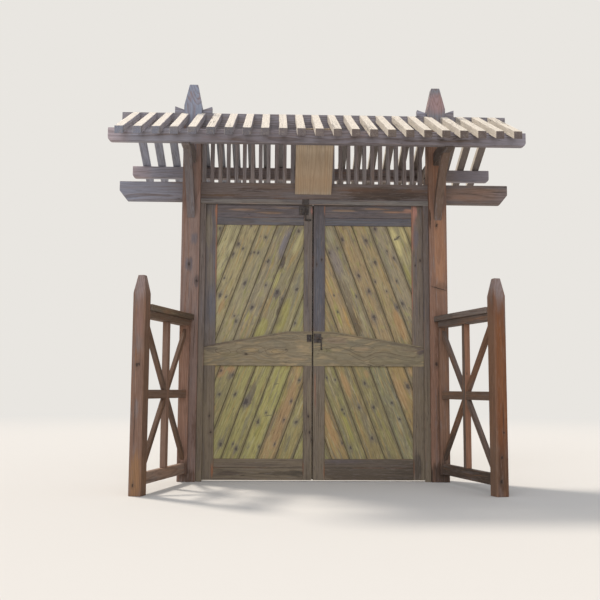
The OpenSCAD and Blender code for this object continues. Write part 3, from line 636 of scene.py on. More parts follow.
half, r, top = beams["plateHalf"], beams["plateRound"], plateZ + gate["plateHigh"]
outline = ([(half, top), (-half, top)] + arc(r - half, plateZ + r, r, math.pi, 1.5 * math.pi, 6)
           + arc(half - r, plateZ + r, r, 1.5 * math.pi, 2 * math.pi, 6))     # rounded lower corners
for side, word in ((-1, "front"), (1, "rear")):
    plate = faceOn(outline, side * gate["plateY"], 2 * gate["beamHalf"], toRight, beams[word + "PlateTint"], rows=25,
                   marks=marksAt(beams["plateMarks"]))
    putPiece(word + "_plate", [plate], beamLarch)

tip, lip, top = beams["armHalf"], gate["plateY"] - gate["beamHalf"], armZ + beams["armHigh"]
outline = [(-tip, armZ), (tip, armZ), (tip, plateZ), (lip, plateZ), (lip, top), (-lip, top), (-lip, plateZ),
           (-tip, plateZ)]
arms = [sideOn(outline, side * gate["postX"], beams["armThick"], toBack, beams["armTints"][side], step=0)
        for side in (-1, 1)]
putPiece("cross_arms", arms, beamLarch)

knees = dict(foot=2029, reach=440, radius=1115, deep=55, thick=60, steps=22)
w = gate["postHalf"]
run, rise = knees["reach"] - w, armZ - knees["foot"]
chord = math.hypot(run, rise)
sag = math.sqrt(knees["radius"] ** 2 - chord ** 2 / 4) / chord
hubY, hubZ = (knees["reach"] + w) / 2 + sag * rise, (armZ + knees["foot"]) / 2 - sag * run
outer = knees["radius"] + knees["deep"]
outline = (arc(hubY, hubZ, knees["radius"], math.atan2(knees["foot"] - hubZ, w - hubY),
               math.atan2(armZ - hubZ, knees["reach"] - hubY), knees["steps"])
           + arc(hubY, hubZ, outer, math.pi - math.asin((armZ - hubZ) / outer),
                 math.pi - math.acos((hubY - w) / outer), knees["steps"]))
braces = [sideOn([(front * y, z) for y, z in outline], side * gate["postX"], knees["thick"], (0, front * run, rise),
                 beams["kneeTints"][side], step=0) for side in (-1, 1) for front in (-1, 1)]
putPiece("knee_braces", braces, beamLarch)

saddles = []
for side in (-1, 1):
    for end in (-1, 1):
        x0, x1 = (side * gate["postX"] + end * reach for reach in (gate["postHalf"], beams["saddleX"]))
        top = gate["ridgeTop"]
        outline = [(x0, top), (x1, top), (x1, top + beams["saddleHigh"]), (x0, top + beams["saddleLow"])]
        saddles.append(faceOn(outline, 0, beams["saddleThick"], toRight, beams["saddleTint"], normal=toBack, step=0,
                              arris=2.5))
putPiece("saddles", saddles, beamLarch)
print("beams done")


def underRafters(y):
    return gate["ridgeTop"] - (y - gate["beamHalf"]) * math.tan(slope) - rafterDrop


rafters = dict(
    count=23, pitch=129, wide=60, tailY=750,
    tailShadeMark=(40, 70, 90),     # a painted shade on the rafters' sawn ends: how far under the top its middle is, and half its length and width
    frontTints=["#b0aebc", "#9e99a6", "#898489", "#7f7673", "#77706c"],    # from left to right
    # colours of the painted shade on the rafters' ends, from left to right
    tailShadeTints=["#7f8390", "#656469", "#6e625e", "#584a41", "#605451"],
    rearTints=["#a2a6b8", "#969aa4", "#8c8888", "#827974", "#7a706c"],
)
b, tail, top = gate["beamHalf"], rafters["tailY"], gate["ridgeTop"]
tailTop = top - (tail - b) * math.tan(slope)
outline = [(b, top), (tail, tailTop), (tail, tailTop - rafterDrop), (b, top - rafterDrop)]
for side, word in ((-1, "front"), (1, "rear")):
    members = []
    for i in range(rafters["count"]):
        x = (i - (rafters["count"] - 1) / 2) * rafters["pitch"]
        share = i / (rafters["count"] - 1)
        down, long, wide = rafters["tailShadeMark"]
        # each rafter's sawn end is darkened: painted shade
        endShade = [(at(x, side * tail, tailTop - down), long, wide, between(rafters["tailShadeTints"], share), 1)]
        members.append(sideOn([(side * y, z) for y, z in outline], x, rafters["wide"],
                              (0, side * math.cos(slope), -math.sin(slope)),
                              between(rafters[word + "Tints"], share), arris=2.5, step=30, marks=endShade))
    putPiece(word + "_rafters", members, rafterLarch)
print("rafters done")


bars = dict(pitch=63.7, wide=30, deep=50, first=57, tints=["#8c8484", "#918a8a", "#867c7a", "#968d8b"])
count = math.floor((2 * gate["clearHalf"] - bars["first"] - bars["wide"] / 2) / bars["pitch"]) + 1
members = []
for i in range(count):
    x = gate["clearHalf"] - bars["first"] - i * bars["pitch"]
    members.append(bar(x - bars["wide"] / 2, x + bars["wide"] / 2, -bars["deep"] / 2, bars["deep"] / 2,
                       gate["tieTop"], gate["ridgeZ"], "z", bars["tints"][i * 7 % 4], arris=2, step=90))
putPiece("transom_bars", members, beamLarch)

sign = dict(
    wide=288, x=-13, low=2234, thick=34, lean=42, tint="#ae9f8b", knots=[(-37, 2414, 9), (46, 2312, 5)],
    marks=[
        (-120, 2420, 120, 40, "#a0937e", 0.8), (60, 2380, 160, 26, "#b5906d", 0.7),
        (20, 2460, 90, 60, "#9b8975", 0.8), (-40, 2300, 90, 30, "#8f7c68", 0.6), (100, 2300, 80, 24, "#b3946f", 0.6),
        (105, 2400, 300, 60, "#cdb9a0", 0.85)
    ],
)
lean = math.radians(sign["lean"])
tieFront = beams["tieThick"] / 2


def signMeets(z0):
    # where the board's face, z0 high at the tie beam, reaches the rafters' underside
    rise = 1 / math.tan(lean)
    return (underRafters(0) - z0 + tieFront * rise) / (rise + math.tan(slope))


def onSign(x, z):
    return at(x, -tieFront - (z - sign["low"]) * math.tan(lean), z)


low, high = sign["low"], sign["low"] + sign["thick"]
yLow, yHigh = signMeets(low), signMeets(high)
outline = [(-tieFront, low), (-yLow, underRafters(yLow)), (-yHigh, underRafters(yHigh)), (-tieFront, high)]
board = sideOn(outline, sign["x"], sign["wide"], (0, -math.sin(lean), math.cos(lean)), sign["tint"], arris=2,
               step=30, tilt=0.01, marks=[(onSign(x, z), *rest) for x, z, *rest in sign["marks"]])
for x, z, size in sign["knots"]:
    addKnot(board, onSign(x, z), size, (0, -math.cos(lean), -math.sin(lean)))
putPiece("sign_board", [board], signPine)
print("bars and sign done")


doorFrame = dict(
    jambX=871, jambFront=-30, jambBack=21, stopX=855, stopFront=-50, stopTop=2149, headTop=2189, headFront=-52,
    jambTint="#675c54", stopTints={-1: "#756962", 1: "#665a53"}, headTint="#827d78",
    stopCracks={-1: (-880, 1700, -882, 1350, 3), 1: (876, 900, 880, 520, 3)},
    headMarks=[
        (-500, 2169, 260, 12, "#8b857f", 0.6), (-750, 2169, 160, 12, "#756d68", 0.6),
        (300, 2169, 260, 12, "#857b6f", 0.6), (760, 2169, 160, 12, "#6f665e", 0.6)
    ],
)
jambs, stops = [], []
for side in (-1, 1):
    jambs.append(sideBar(side, doorFrame["jambX"], gate["clearHalf"], doorFrame["jambFront"], doorFrame["jambBack"], 0,
                         gate["tieZ"], "z", doorFrame["jambTint"], arris=2.5))
    stops.append(sideBar(side, doorFrame["stopX"], gate["clearHalf"], doorFrame["stopFront"], doorFrame["jambFront"],
                         0, doorFrame["stopTop"], "z", doorFrame["stopTints"][side], arris=2.5, rows=12))
    addCracks(stops[-1], [doorFrame["stopCracks"][side]], doorFrame["stopFront"])
putPiece("jambs", jambs, framePlaned)
putPiece("stop_strips", stops, framePlaned)
head = bar(-gate["clearHalf"], gate["clearHalf"], doorFrame["headFront"], doorFrame["jambFront"],
           doorFrame["stopTop"], doorFrame["headTop"], "x", doorFrame["headTint"],
           marks=marksAt(doorFrame["headMarks"]))
putPiece("head_strip", [head], framePlaned)
print("door frame done")


doors = dict(
    floor=10, top=2161, front=-24, back=21, x=863, meetX=-12, meetGap=10, stile=95, meet={-1: 67, 1: 90},
    topRail=173, topSplit=61, bottomRail=160, bottomSplit=93, lockZ=880, lockH=262, lockLow=146,
    lockFlat={-1: 195, 1: 153},
    lap=15, lapProud=1.2,            # the lock rail's lap stands this far in front of the stiles
    boardFront=-12, boardBack=6, boardWide=129, lean=20.2, jointTop=157, jointFoot={-1: 161, 1: 139},
    joint=0.8, tuckX=10, tuckZ=12,   # between two boards, and how far they run behind stiles and rails
    railJoint=1, railClear=0.3,      # between two rails, and between a rail's end and the stile
    backIn=0.8,                      # rails stand this far in from the stiles' rear faces
    behindLock=60,                   # the boards of both panels meet this far up behind the lock rail
    knotShare=0.72,                  # the boards' knots are drawn at this share of the listed size
    lineWide=7, lineBelow=28, loopWide=5, shadeLineDown=4, shadeLineWide=11,       # dark grain on the lock rails, and a painted shadow line along their top edge
    backingFront=-5, backingBack=1, backingTuckX=8, backingTuckZ=10,
    # the dark strip in the meeting gap is painted shade
    shadeStripFront=11, shadeStripBack=19, shadeStripGap=0.4, shadeStripLap=2, shadeStripShort=4,
    stileTints={-1: ("#6c6461", "#71675f"), 1: ("#7a6d60", "#5c575a")},    # hinge side, meeting side
    railTints={-1: ("#6e6668", "#67666a", "#6f6258", "#655a4c"),           # of the four boards, from the top
               1: ("#6b6364", "#626167", "#605450", "#574c3f")},
    stileCracks=[(60, 1500, 58, 1180), (40, 700, 42, 380)],                # across from its side nearer the middle
    lockTint={-1: "#8c8069", 1: "#8a7f67"}, backingTint="#4a4236", shadeStripTint="#2c241e",
)
# tints of the boards, by their number from the meeting stile, for a door and its lower or upper panel
boardTints = {
    (-1, 1): {
        5: "#a69d78", 4: "#b4ab85", 3: "#a99d79", 2: "#a09678", 1: "#978d75", 0: "#948b70", -1: "#98906e",
        -2: "#9b946c"
    },
    (1, 1): {
        6: "#b5a97c", 5: "#c2b68a", 4: "#a99f7a", 3: "#9c9078", 2: "#a6936f", 1: "#a48f6e", 0: "#948a74",
        -1: "#ab9470", -2: "#a08e68"
    },
    (-1, 0): {
        0: "#a09a66", 1: "#9f9467", 2: "#ad946b", 3: "#aaa469", 4: "#a39c67", 5: "#a29b68", 6: "#9a9167",
        7: "#9a8c6a"
    },
    (1, 0): {
        0: "#928c5e", 1: "#a0885f", 2: "#908860", 3: "#95865f", 4: "#928862", 5: "#8d886b", 6: "#a89064",
        7: "#aa926c"
    },
}
# stains on the boards: place across the gate, height, half length, half width, colour, cover
boardMarks = [
    (-212, 1840, 190, 64, "#7f7b84", 1), (-256, 1690, 80, 34, "#4f4541", 1), (-272, 1324, 83, 17, "#4f4439", 0.8),
    (-724, 1336, 97, 28, "#a98a64", 0.75), (-524, 1259, 70, 18, "#a49c62", 0.8), (-625, 1227, 49, 17, "#a49c62", 0.8),
    (-407, 1190, 100, 56, "#a09b62", 0.75), (-244, 1269, 190, 60, "#a09a60", 0.75),
    (-107, 1239, 97, 18, "#9a9660", 0.8), (-490, 660, 130, 44, "#77705f", 0.9), (-500, 760, 120, 22, "#857b5c", 0.9),
    (-545, 600, 60, 30, "#564d47", 0.9), (-500, 610, 50, 30, "#665d55", 0.9), (-258, 640, 208, 31, "#a09a5c", 0.9),
    (-425, 372, 97, 28, "#a09a5c", 0.85), (-735, 838, 75, 60, "#b8936a", 0.95), (-640, 850, 40, 50, "#b08e68", 0.8),
    (-700, 640, 240, 46, "#8c8562", 0.7), (-655, 800, 40, 30, "#6d6660", 0.8), (-230, 518, 389, 52, "#a68966", 0.9),
    (123, 1907, 97, 35, "#a39d83", 0.7), (170, 1690, 150, 54, "#8d837c", 1), (242, 1438, 220, 56, "#827663", 1),
    (318, 1210, 140, 56, "#6d5f4c", 1), (305, 1463, 83, 14, "#a49c68", 0.7), (187, 1280, 139, 21, "#a59f5f", 0.8),
    (116, 1493, 139, 21, "#bd9e68", 0.7), (253, 1257, 125, 21, "#bc9962", 0.75),
    (639, 1864, 167, 49, "#d0c48d", 0.95), (711, 1921, 97, 35, "#cabd89", 0.9), (740, 1602, 125, 28, "#9c975f", 0.85),
    (673, 1206, 181, 49, "#b39168", 0.9), (559, 1759, 208, 28, "#908a73", 0.7), (488, 1975, 35, 28, "#70625d", 0.7),
    (257, 428, 208, 25, "#a39c5e", 0.85), (249, 736, 153, 35, "#ae8e66", 0.85), (133, 390, 208, 35, "#b29066", 0.85),
    (670, 684, 208, 49, "#b2936a", 0.85), (405, 822, 70, 28, "#ad9168", 0.8), (482, 621, 111, 28, "#7e755e", 0.7),
    (420, 529, 208, 14, "#a09a60", 0.75), (749, 839, 56, 21, "#b89a70", 0.8), (-300, 1550, 120, 45, "#b0a970", 0.8),
    (-426, 1140, 120, 58, "#a59e64", 0.8), (-277, 1241, 70, 36, "#77745f", 0.8),
    (-290, 1440, 64, 36, "#6d655a", 0.85), (-122, 1860, 170, 44, "#b4ab80", 0.8),
    (-138, 1544, 130, 40, "#8b8673", 0.7)
]
# knots on the boards: place across the gate, height, half width
boardKnots = [
    (-745, 1960, 13), (-600, 1835, 14), (-640, 1755, 14), (-560, 1800, 10), (-510, 1765, 13), (-475, 1770, 10),
    (-445, 1765, 11), (-385, 1890, 12), (-365, 1700, 14), (-125, 1945, 16), (-265, 1680, 17), (-545, 1525, 14),
    (-735, 1430, 15), (-690, 1415, 9), (-290, 1455, 17), (-250, 1400, 15), (-135, 1480, 14), (-485, 1335, 13),
    (-610, 1225, 14), (-625, 1265, 9), (-380, 1510, 9), (-430, 1230, 12), (-150, 1215, 10), (-705, 1565, 9),
    (-500, 1980, 9), (220, 1880, 14), (410, 1870, 18), (480, 1965, 13), (480, 1700, 14), (575, 1790, 9),
    (630, 1735, 13), (350, 1590, 15), (480, 1545, 9), (650, 1550, 9), (430, 1470, 15), (330, 1430, 9), (570, 1470, 8),
    (155, 1435, 7), (695, 1370, 16), (655, 1345, 13), (470, 1265, 18), (185, 1305, 9), (180, 1810, 9),
    (120, 1770, 12), (-720, 840, 13), (-625, 810, 14), (-610, 660, 14), (-730, 660, 11), (-525, 605, 20),
    (-410, 615, 12), (-370, 520, 9), (-430, 450, 15), (-715, 280, 14), (-770, 260, 9), (-595, 245, 14),
    (-620, 280, 9), (-420, 260, 9), (-135, 450, 15), (-230, 465, 9), (-260, 275, 9), (-115, 770, 11), (-175, 610, 9),
    (-300, 280, 8), (100, 790, 8), (165, 775, 8), (730, 725, 20), (395, 750, 12), (645, 645, 10), (350, 565, 11),
    (465, 565, 14), (605, 600, 10), (220, 545, 12), (235, 515, 8), (665, 475, 10), (450, 330, 14), (285, 255, 12),
    (220, 290, 9)
]
# cracks on the boards: from and to, across the gate and in height, and width
boardCracks = [
    (632, 1873, 676, 1916, 17), (-310, 738, -268, 745, 3.5), (-388, 492, -312, 505, 3.5),
    (-262, 1470, -276, 1350, 3.5), (300, 1210, 345, 1216, 3), (150, 430, 215, 330, 3)
]
# stains on upright stiles and on level rails
frameMarks = {
    "z": [
        (-776, 80, 90, 11, "#a5704f", 1), (-84, 110, 60, 9, "#a06c50", 0.95), (78, 70, 90, 7, "#a57450", 0.9),
        (772, 90, 80, 7, "#9c6c50", 0.9), (-769, 1800, 420, 8, "#ab785c", 0.95), (-771, 2100, 90, 16, "#b87c5c", 1),
        (-20, 2100, 60, 15, "#b57d70", 1), (-78, 2020, 60, 6, "#b08068", 0.9), (82, 2115, 50, 10, "#b07a5c", 1),
        (792, 2105, 90, 32, "#c08a7a", 1), (774, 1960, 260, 11, "#b77a5e", 1), (770, 1500, 300, 5, "#a06c58", 0.8),
        (856, 1900, 120, 6, "#a47058", 0.8), (10, 700, 300, 5, "#a47458", 0.7),
        (-830, 1950, 200, 40, "#847a6a", 0.85), (-815, 1650, 230, 30, "#817769", 0.7),
        (-800, 1350, 220, 50, "#66666c", 0.8), (-840, 2120, 70, 24, "#56504f", 0.8),
        (-55, 1320, 120, 16, "#544a48", 0.7), (35, 1554, 620, 48, "#5d5e65", 0.9),
        (800, 1900, 140, 30, "#706a70", 0.8), (803, 110, 150, 50, "#50463b", 0.95)
    ],
    "x": [
        (-560, 2108, 170, 13, "#9c826f", 1), (-350, 2085, 150, 12, "#a3856c", 1),
        (-230, 2125, 130, 10, "#937d6c", 0.9), (-640, 2140, 100, 9, "#5a5558", 0.8),
        (-700, 2075, 90, 12, "#5c5a60", 0.8), (-560, 2045, 140, 7, "#8d7b6e", 0.7),
        (230, 2108, 160, 12, "#a0866e", 1), (480, 2125, 170, 12, "#a5866b", 1), (620, 2100, 120, 12, "#a48068", 0.9),
        (400, 2085, 160, 9, "#5a5658", 0.8), (740, 2110, 60, 30, "#b08470", 0.9),
        (300, 2020, 260, 20, "#68696f", 0.9), (600, 2005, 240, 20, "#66666c", 0.9),
        (-430, 130, 340, 24, "#6f6353", 0.7), (-650, 60, 130, 26, "#5d5043", 0.8),
        (-300, 60, 200, 22, "#5b5040", 0.8), (-130, 60, 90, 40, "#4c4438", 0.8), (430, 130, 560, 90, "#62574b", 0.9),
        (220, 152, 220, 16, "#665d62", 0.9), (720, 125, 110, 50, "#514639", 0.95),
        (430, 50, 560, 90, "#574b3d", 0.95), (700, 50, 160, 60, "#463c31", 0.95)
    ],
}
lockMarks = {
    -1: [
        (-845, 1060, 80, 60, "#5b5254", 1), (-790, 1010, 70, 40, "#6f6658", 0.9),
        (-493, 1001, 95, 26, "#a89470", 0.9), (-292, 995, 80, 22, "#a89470", 0.9),
        (-110, 1030, 60, 26, "#b09a78", 0.8), (-640, 960, 120, 40, "#857a5e", 0.8),
        (-140, 925, 120, 22, "#a59172", 0.8), (-420, 915, 300, 20, "#7d7358", 0.6),
        (-330, 1085, 260, 22, "#6f6656", 0.9)
    ],
    1: [
        (375, 1015, 90, 28, "#a48f72", 1), (270, 960, 170, 24, "#8d8268", 0.7), (180, 1080, 150, 40, "#8d7c68", 0.8),
        (600, 930, 260, 30, "#8c8268", 0.8), (835, 1000, 45, 60, "#5d5254", 1), (740, 1010, 90, 30, "#7b6f5e", 0.8),
        (480, 905, 300, 16, "#857a60", 0.6), (560, 1020, 150, 26, "#8f8064", 0.8),
        (100, 1000, 90, 30, "#88805f", 0.7)
    ],
}
# loops of grain on the lock rails: middle, half length, half width and turn; and knots
lockLoops = {
    -1: [
        (-493, 1001, 112, 32, 0.06), (-500, 998, 70, 18, 0.04), (-292, 995, 86, 28, 0.1), (-285, 993, 48, 15, 0.1),
        (-706, 990, 60, 22, -0.1)
    ],
    1: [
        (375, 1016, 92, 30, -0.05)
    ],
}
lockKnots = {-1: [(-528, 970, 7), (-219, 1005, 4)], 1: []}
# the grain line that dips under the right rail's pale heart
lockLine = [
    (92, 1013), (186, 1033), (272, 1003), (334, 968), (389, 948), (435, 965), (475, 985), (537, 990), (607, 980),
    (701, 959), (790, 950)
]


def meetEdge(side):
    return side * doors["meetX"] + doors["meetGap"] / 2


def mirrored(outline, side):
    return [(side * x, z) for x, z in outline]


def doorBar(side, x0, x1, z0, z1, along, tint, front=0.0, back=0.0, **more):
    # front and back are how far the bar stands in from the door's two faces
    return sideBar(side, x0, x1, doors["front"] + front, doors["back"] - back, z0, z1, along, tint,
                   marks=marksAt(frameMarks[along]), **more)


def lockOutline(side):
    m, z, x = meetEdge(side), doors["lockZ"], doors["x"]
    return [(m, z), (x, z), (x, z + doors["lockLow"]), (m + doors["lockFlat"][side], z + doors["lockH"]),
            (m, z + doors["lockH"])]


def boardRow(side, upper):
    inner, outer = meetEdge(side) + doors["meet"][side], doors["x"] - doors["stile"]
    z0, z1 = doors["floor"] + doors["bottomRail"], doors["lockZ"] + doors["behindLock"]
    zRef, xRef = z0, doors["jointFoot"][side]
    if upper:
        z0, z1 = z1, doors["top"] - doors["topRail"]
        zRef, xRef = z1, doors["jointTop"]
    tan = math.tan(math.radians(doors["lean"]))
    pitch = doors["boardWide"] / math.cos(math.radians(doors["lean"]))
    front, back = doors["boardFront"], doors["boardBack"]
    members = []
    for k in range(-3, 9):
        left, right = xRef + (k - 1) * pitch + doors["joint"] / 2, xRef + k * pitch - doors["joint"] / 2
        ends = [(z, (zRef - z) * tan) for z in (z0 - 50, z1 + 50)]      # drawn too long, then clipped
        (low, xLow), (high, xHigh) = ends
        strip = [(left + xLow, low), (right + xLow, low), (right + xHigh, high), (left + xHigh, high)]
        shape = clipped(strip, inner - doors["tuckX"], outer + doors["tuckX"], z0 - doors["tuckZ"],
                        z1 + doors["tuckZ"])
        if not shape:
            continue

        def onBoard(px, pz):
            cross = side * px - (zRef - pz) * tan
            return left < cross < right and inner < side * px < outer and (pz > doors["lockZ"]) == bool(upper)
        plank = faceOn(mirrored(shape, side), (front + back) / 2, back - front, (-side * tan, 0, 1),
                       boardTints[(side, upper)].get(k, "#988c6a"), arris=2.9, step=30, rows=16, groove=True,
                       tilt=0.03, marks=marksAt([m for m in boardMarks if onBoard(m[0], m[1])]))
        for kx, kz, size in boardKnots:
            if onBoard(kx, kz):
                addKnot(plank, at(kx, front, kz), size * doors["knotShare"], toFront)
        addCracks(plank, [c for c in boardCracks if onBoard((c[0] + c[2]) / 2, (c[1] + c[3]) / 2)], front)
        members.append(plank)
        chance = random.Random(k * 17 + side * 5 + upper)
        for _ in range(3):           # knots on the back
            bz = chance.uniform(z0 + 60, z1 - 60)
            bx = (left + right) / 2 + (zRef - bz) * tan + chance.uniform(-30, 30)
            if inner + 30 < bx < outer - 30:
                addKnot(plank, at(side * bx, back, bz), chance.uniform(7, 12), toBack)
    # a backing behind the joints, so that no light comes through them
    tuckX, tuckZ = doors["backingTuckX"], doors["backingTuckZ"]
    members.append(sideBar(side, inner - tuckX, outer + tuckX, doors["backingFront"], doors["backingBack"],
                           z0 - tuckZ, z1 + tuckZ, "z", doors["backingTint"], arris=0, step=0))
    return members


for side, word in ((-1, "left"), (1, "right")):
    m, x, foot, top, door = meetEdge(side), doors["x"], doors["floor"], doors["top"], word + "_door"
    inner, outer = m + doors["meet"][side], x - doors["stile"]
    stiles = [doorBar(side, x0, x1, foot, top, "z", tint, arris=2.5, tilt=0.01, rows=13)
              for x0, x1, tint in zip((outer, m), (x, inner), doors["stileTints"][side])]
    for stile, edge, (dx0, z0, dx1, z1) in zip(stiles, (outer, m), doors["stileCracks"]):
        randomKnots(stile, 2, toFront, 5, 8)
        addCracks(stile, [(side * (edge + dx0), z0, side * (edge + dx1), z1, 3)], doors["front"])
    putPiece(door + "_stiles", stiles, framePlaned)
    low, split, ledge = top - doors["topRail"], top - doors["topRail"] + doors["topSplit"], foot + doors["bottomSplit"]
    gap, clear = doors["railJoint"] / 2, doors["railClear"]
    spans = ((split + gap, top, 0.8, 9), (low, split - gap, 3, 9), (ledge + gap, foot + doors["bottomRail"], 2.5, 12),
             (foot, ledge - gap, 0.6, 12))      # heights, how far each stands in, and its rows
    rails = [doorBar(side, inner + clear, outer - clear, z0, z1, "x", tint, front=front, back=doors["backIn"],
                     arris=2, rows=rows, step=40)
             for (z0, z1, front, rows), tint in zip(spans, doors["railTints"][side])]
    putPiece("", rails, framePlaned, word + "DoorRailTimber", door)

    near, tint = doors["front"] - doors["lapProud"], doors["lockTint"][side]
    coreThick = doors["back"] - doors["front"] - doors["lap"] - doors["backIn"]
    lock = [faceOn(mirrored(lockOutline(side), side), (near + doors["front"] + doors["lap"]) / 2,
                   doors["lap"] + doors["lapProud"], toRight, tint, arris=2, step=40, rows=24, tilt=0.05,
                   marks=marksAt(lockMarks[side])),
            faceOn(mirrored(clipped(lockOutline(side), inner, outer, 0, 3000), side),
                   doors["front"] + doors["lap"] + coreThick / 2, coreThick, toRight, tint, arris=2, step=70)]
    if side > 0:
        addGrainAndShadowLine(lock[0], [at(px, near, pz) for px, pz in lockLine], doors["lineWide"])
        addGrainAndShadowLine(lock[0], [at(px, near, pz - doors["lineBelow"]) for px, pz in lockLine[2:]], doors["loopWide"])
    for px, pz, long, wide, tilt in lockLoops[side]:
        addGrainAndShadowLine(lock[0], loopSpots(px, near, pz, long, wide, tilt), doors["loopWide"])
    for kx, kz, size in lockKnots[side]:
        addKnot(lock[0], at(kx, near, kz), size, toFront)
    # a painted shadow line just under the top edge of each lock rail
    addGrainAndShadowLine(lock[0], [at(side * px, near, pz - doors["shadeLineDown"]) for px, pz in lockOutline(side)[2:]],
                 doors["shadeLineWide"])
    putPiece(door + "_rails", lock, railPlaned, word + "DoorLockRailTimber")
    putPiece(door + "_boards", boardRow(side, 1) + boardRow(side, 0), boardPine)
    # a dark strip on each leaf fills the gap where they meet: painted shade, standing for the shadow seen through the
    # gap
    shadeStrip = sideBar(side, side * doors["meetX"] + doors["shadeStripGap"] / 2, m + doors["shadeStripLap"], doors["shadeStripFront"],
                   doors["shadeStripBack"], foot + doors["shadeStripShort"], top - doors["shadeStripShort"], "z", doors["shadeStripTint"],
                   arris=0.6, step=0)
    putPiece("", [shadeStrip], framePlaned, word + "DoorSeal", door)
print("doors done")


wings = dict(
    angle=15, run=746, postW=89, postH=1341, head=122, flat=45, taperUp=40, postCrack=(12, 640, 14, 330, 3.5),
    ledgerX=998, ledgerY=-108, ledgerW=76, ledgerT=38, ledgerZ=60,
    capTop=1271, capH=42, capW=115, topH=48, topW=86, railT=40, midZ=632, midH=61, bottomZ=65, bottomH=78,
    muntinW=49, muntinProud=0.8,     # it stands just proud of the rails, so that the crossing shows
    braceW=38, braceT=30, braceStep=0.6, braceLong=900, braceLedger=55, crossZ=662,
    # of the left and the right wing; capEnd, ledgerFoot and braceFoot are stains, and muntinFront colours a strip
    # along one edge of the muntin's front
    tints={"post": ("#7f6456", "#75503a"), "ledger": ("#906f5e", "#7f6250"), "cap": ("#786b58", "#827770"),
           "top_rail": ("#6e5b4d", "#675c55"), "middle_rail": ("#7d6557", "#735f51"),
           "bottom_rail": ("#998172", "#53483f"), "muntin": ("#8c6e5e", "#6a5d54"),
           "braceDown": ("#6f5b4e", "#80604b"), "braceUp": ("#6f5849", "#6c5e56"), "capEnd": ("#5f5245", "#6b625c"),
           "muntinFront": ("#8a7061", "#9e735a"), "ledgerFoot": ("#624d42", "#4c4037"),
           "braceFoot": ("#66503f", "#4f443b")},
    marks={-1: [
        (0, 1400, 160, 60, "#958480", 0.8), (0, 1150, 160, 40, "#8c6f66", 0.7), (0, 1000, 90, 30, "#7d7472", 0.8),
        (0, 562, 110, 26, "#7d7472", 0.8), (0, 120, 230, 60, "#94704f", 0.8), (-44, 600, 900, 15, "#765b4a", 0.85)
    ], 1: [
        (0, 1400, 160, 60, "#8f817e", 0.9), (0, 860, 520, 70, "#7f5030", 0.97), (0, 480, 260, 60, "#7c4d2f", 0.95),
        (0, 180, 220, 60, "#5b4130", 0.85), (-44, 600, 900, 15, "#836a59", 0.95)
    ]})
turn = math.radians(wings["angle"])


def onWing(side, lx, ly, z):
    # a point of a wing, given across it, along it and in height
    return at(side * (wings["ledgerX"] + lx * math.cos(turn) - ly * math.sin(turn)),
              wings["ledgerY"] + lx * math.sin(turn) + ly * math.cos(turn), z)


def wingLong(side):
    return Vector((side * math.sin(turn), -math.cos(turn), 0))


def wingRail(side, z0, z1, w, endY, tint, marks):
    # a level rail that ends square at the wing post and mitred at the plane y = endY
    corners = [onWing(side, lx, -wings["run"], (z0 + z1) / 2) for lx in (-w / 2, w / 2)]
    corners += [onWing(side, lx, (endY - wings["ledgerY"] - lx * math.sin(turn)) / math.cos(turn), (z0 + z1) / 2)
                for lx in (w / 2, -w / 2)]
    return member(corners, toUp, z1 - z0, wingLong(side), tint, marks=marks)


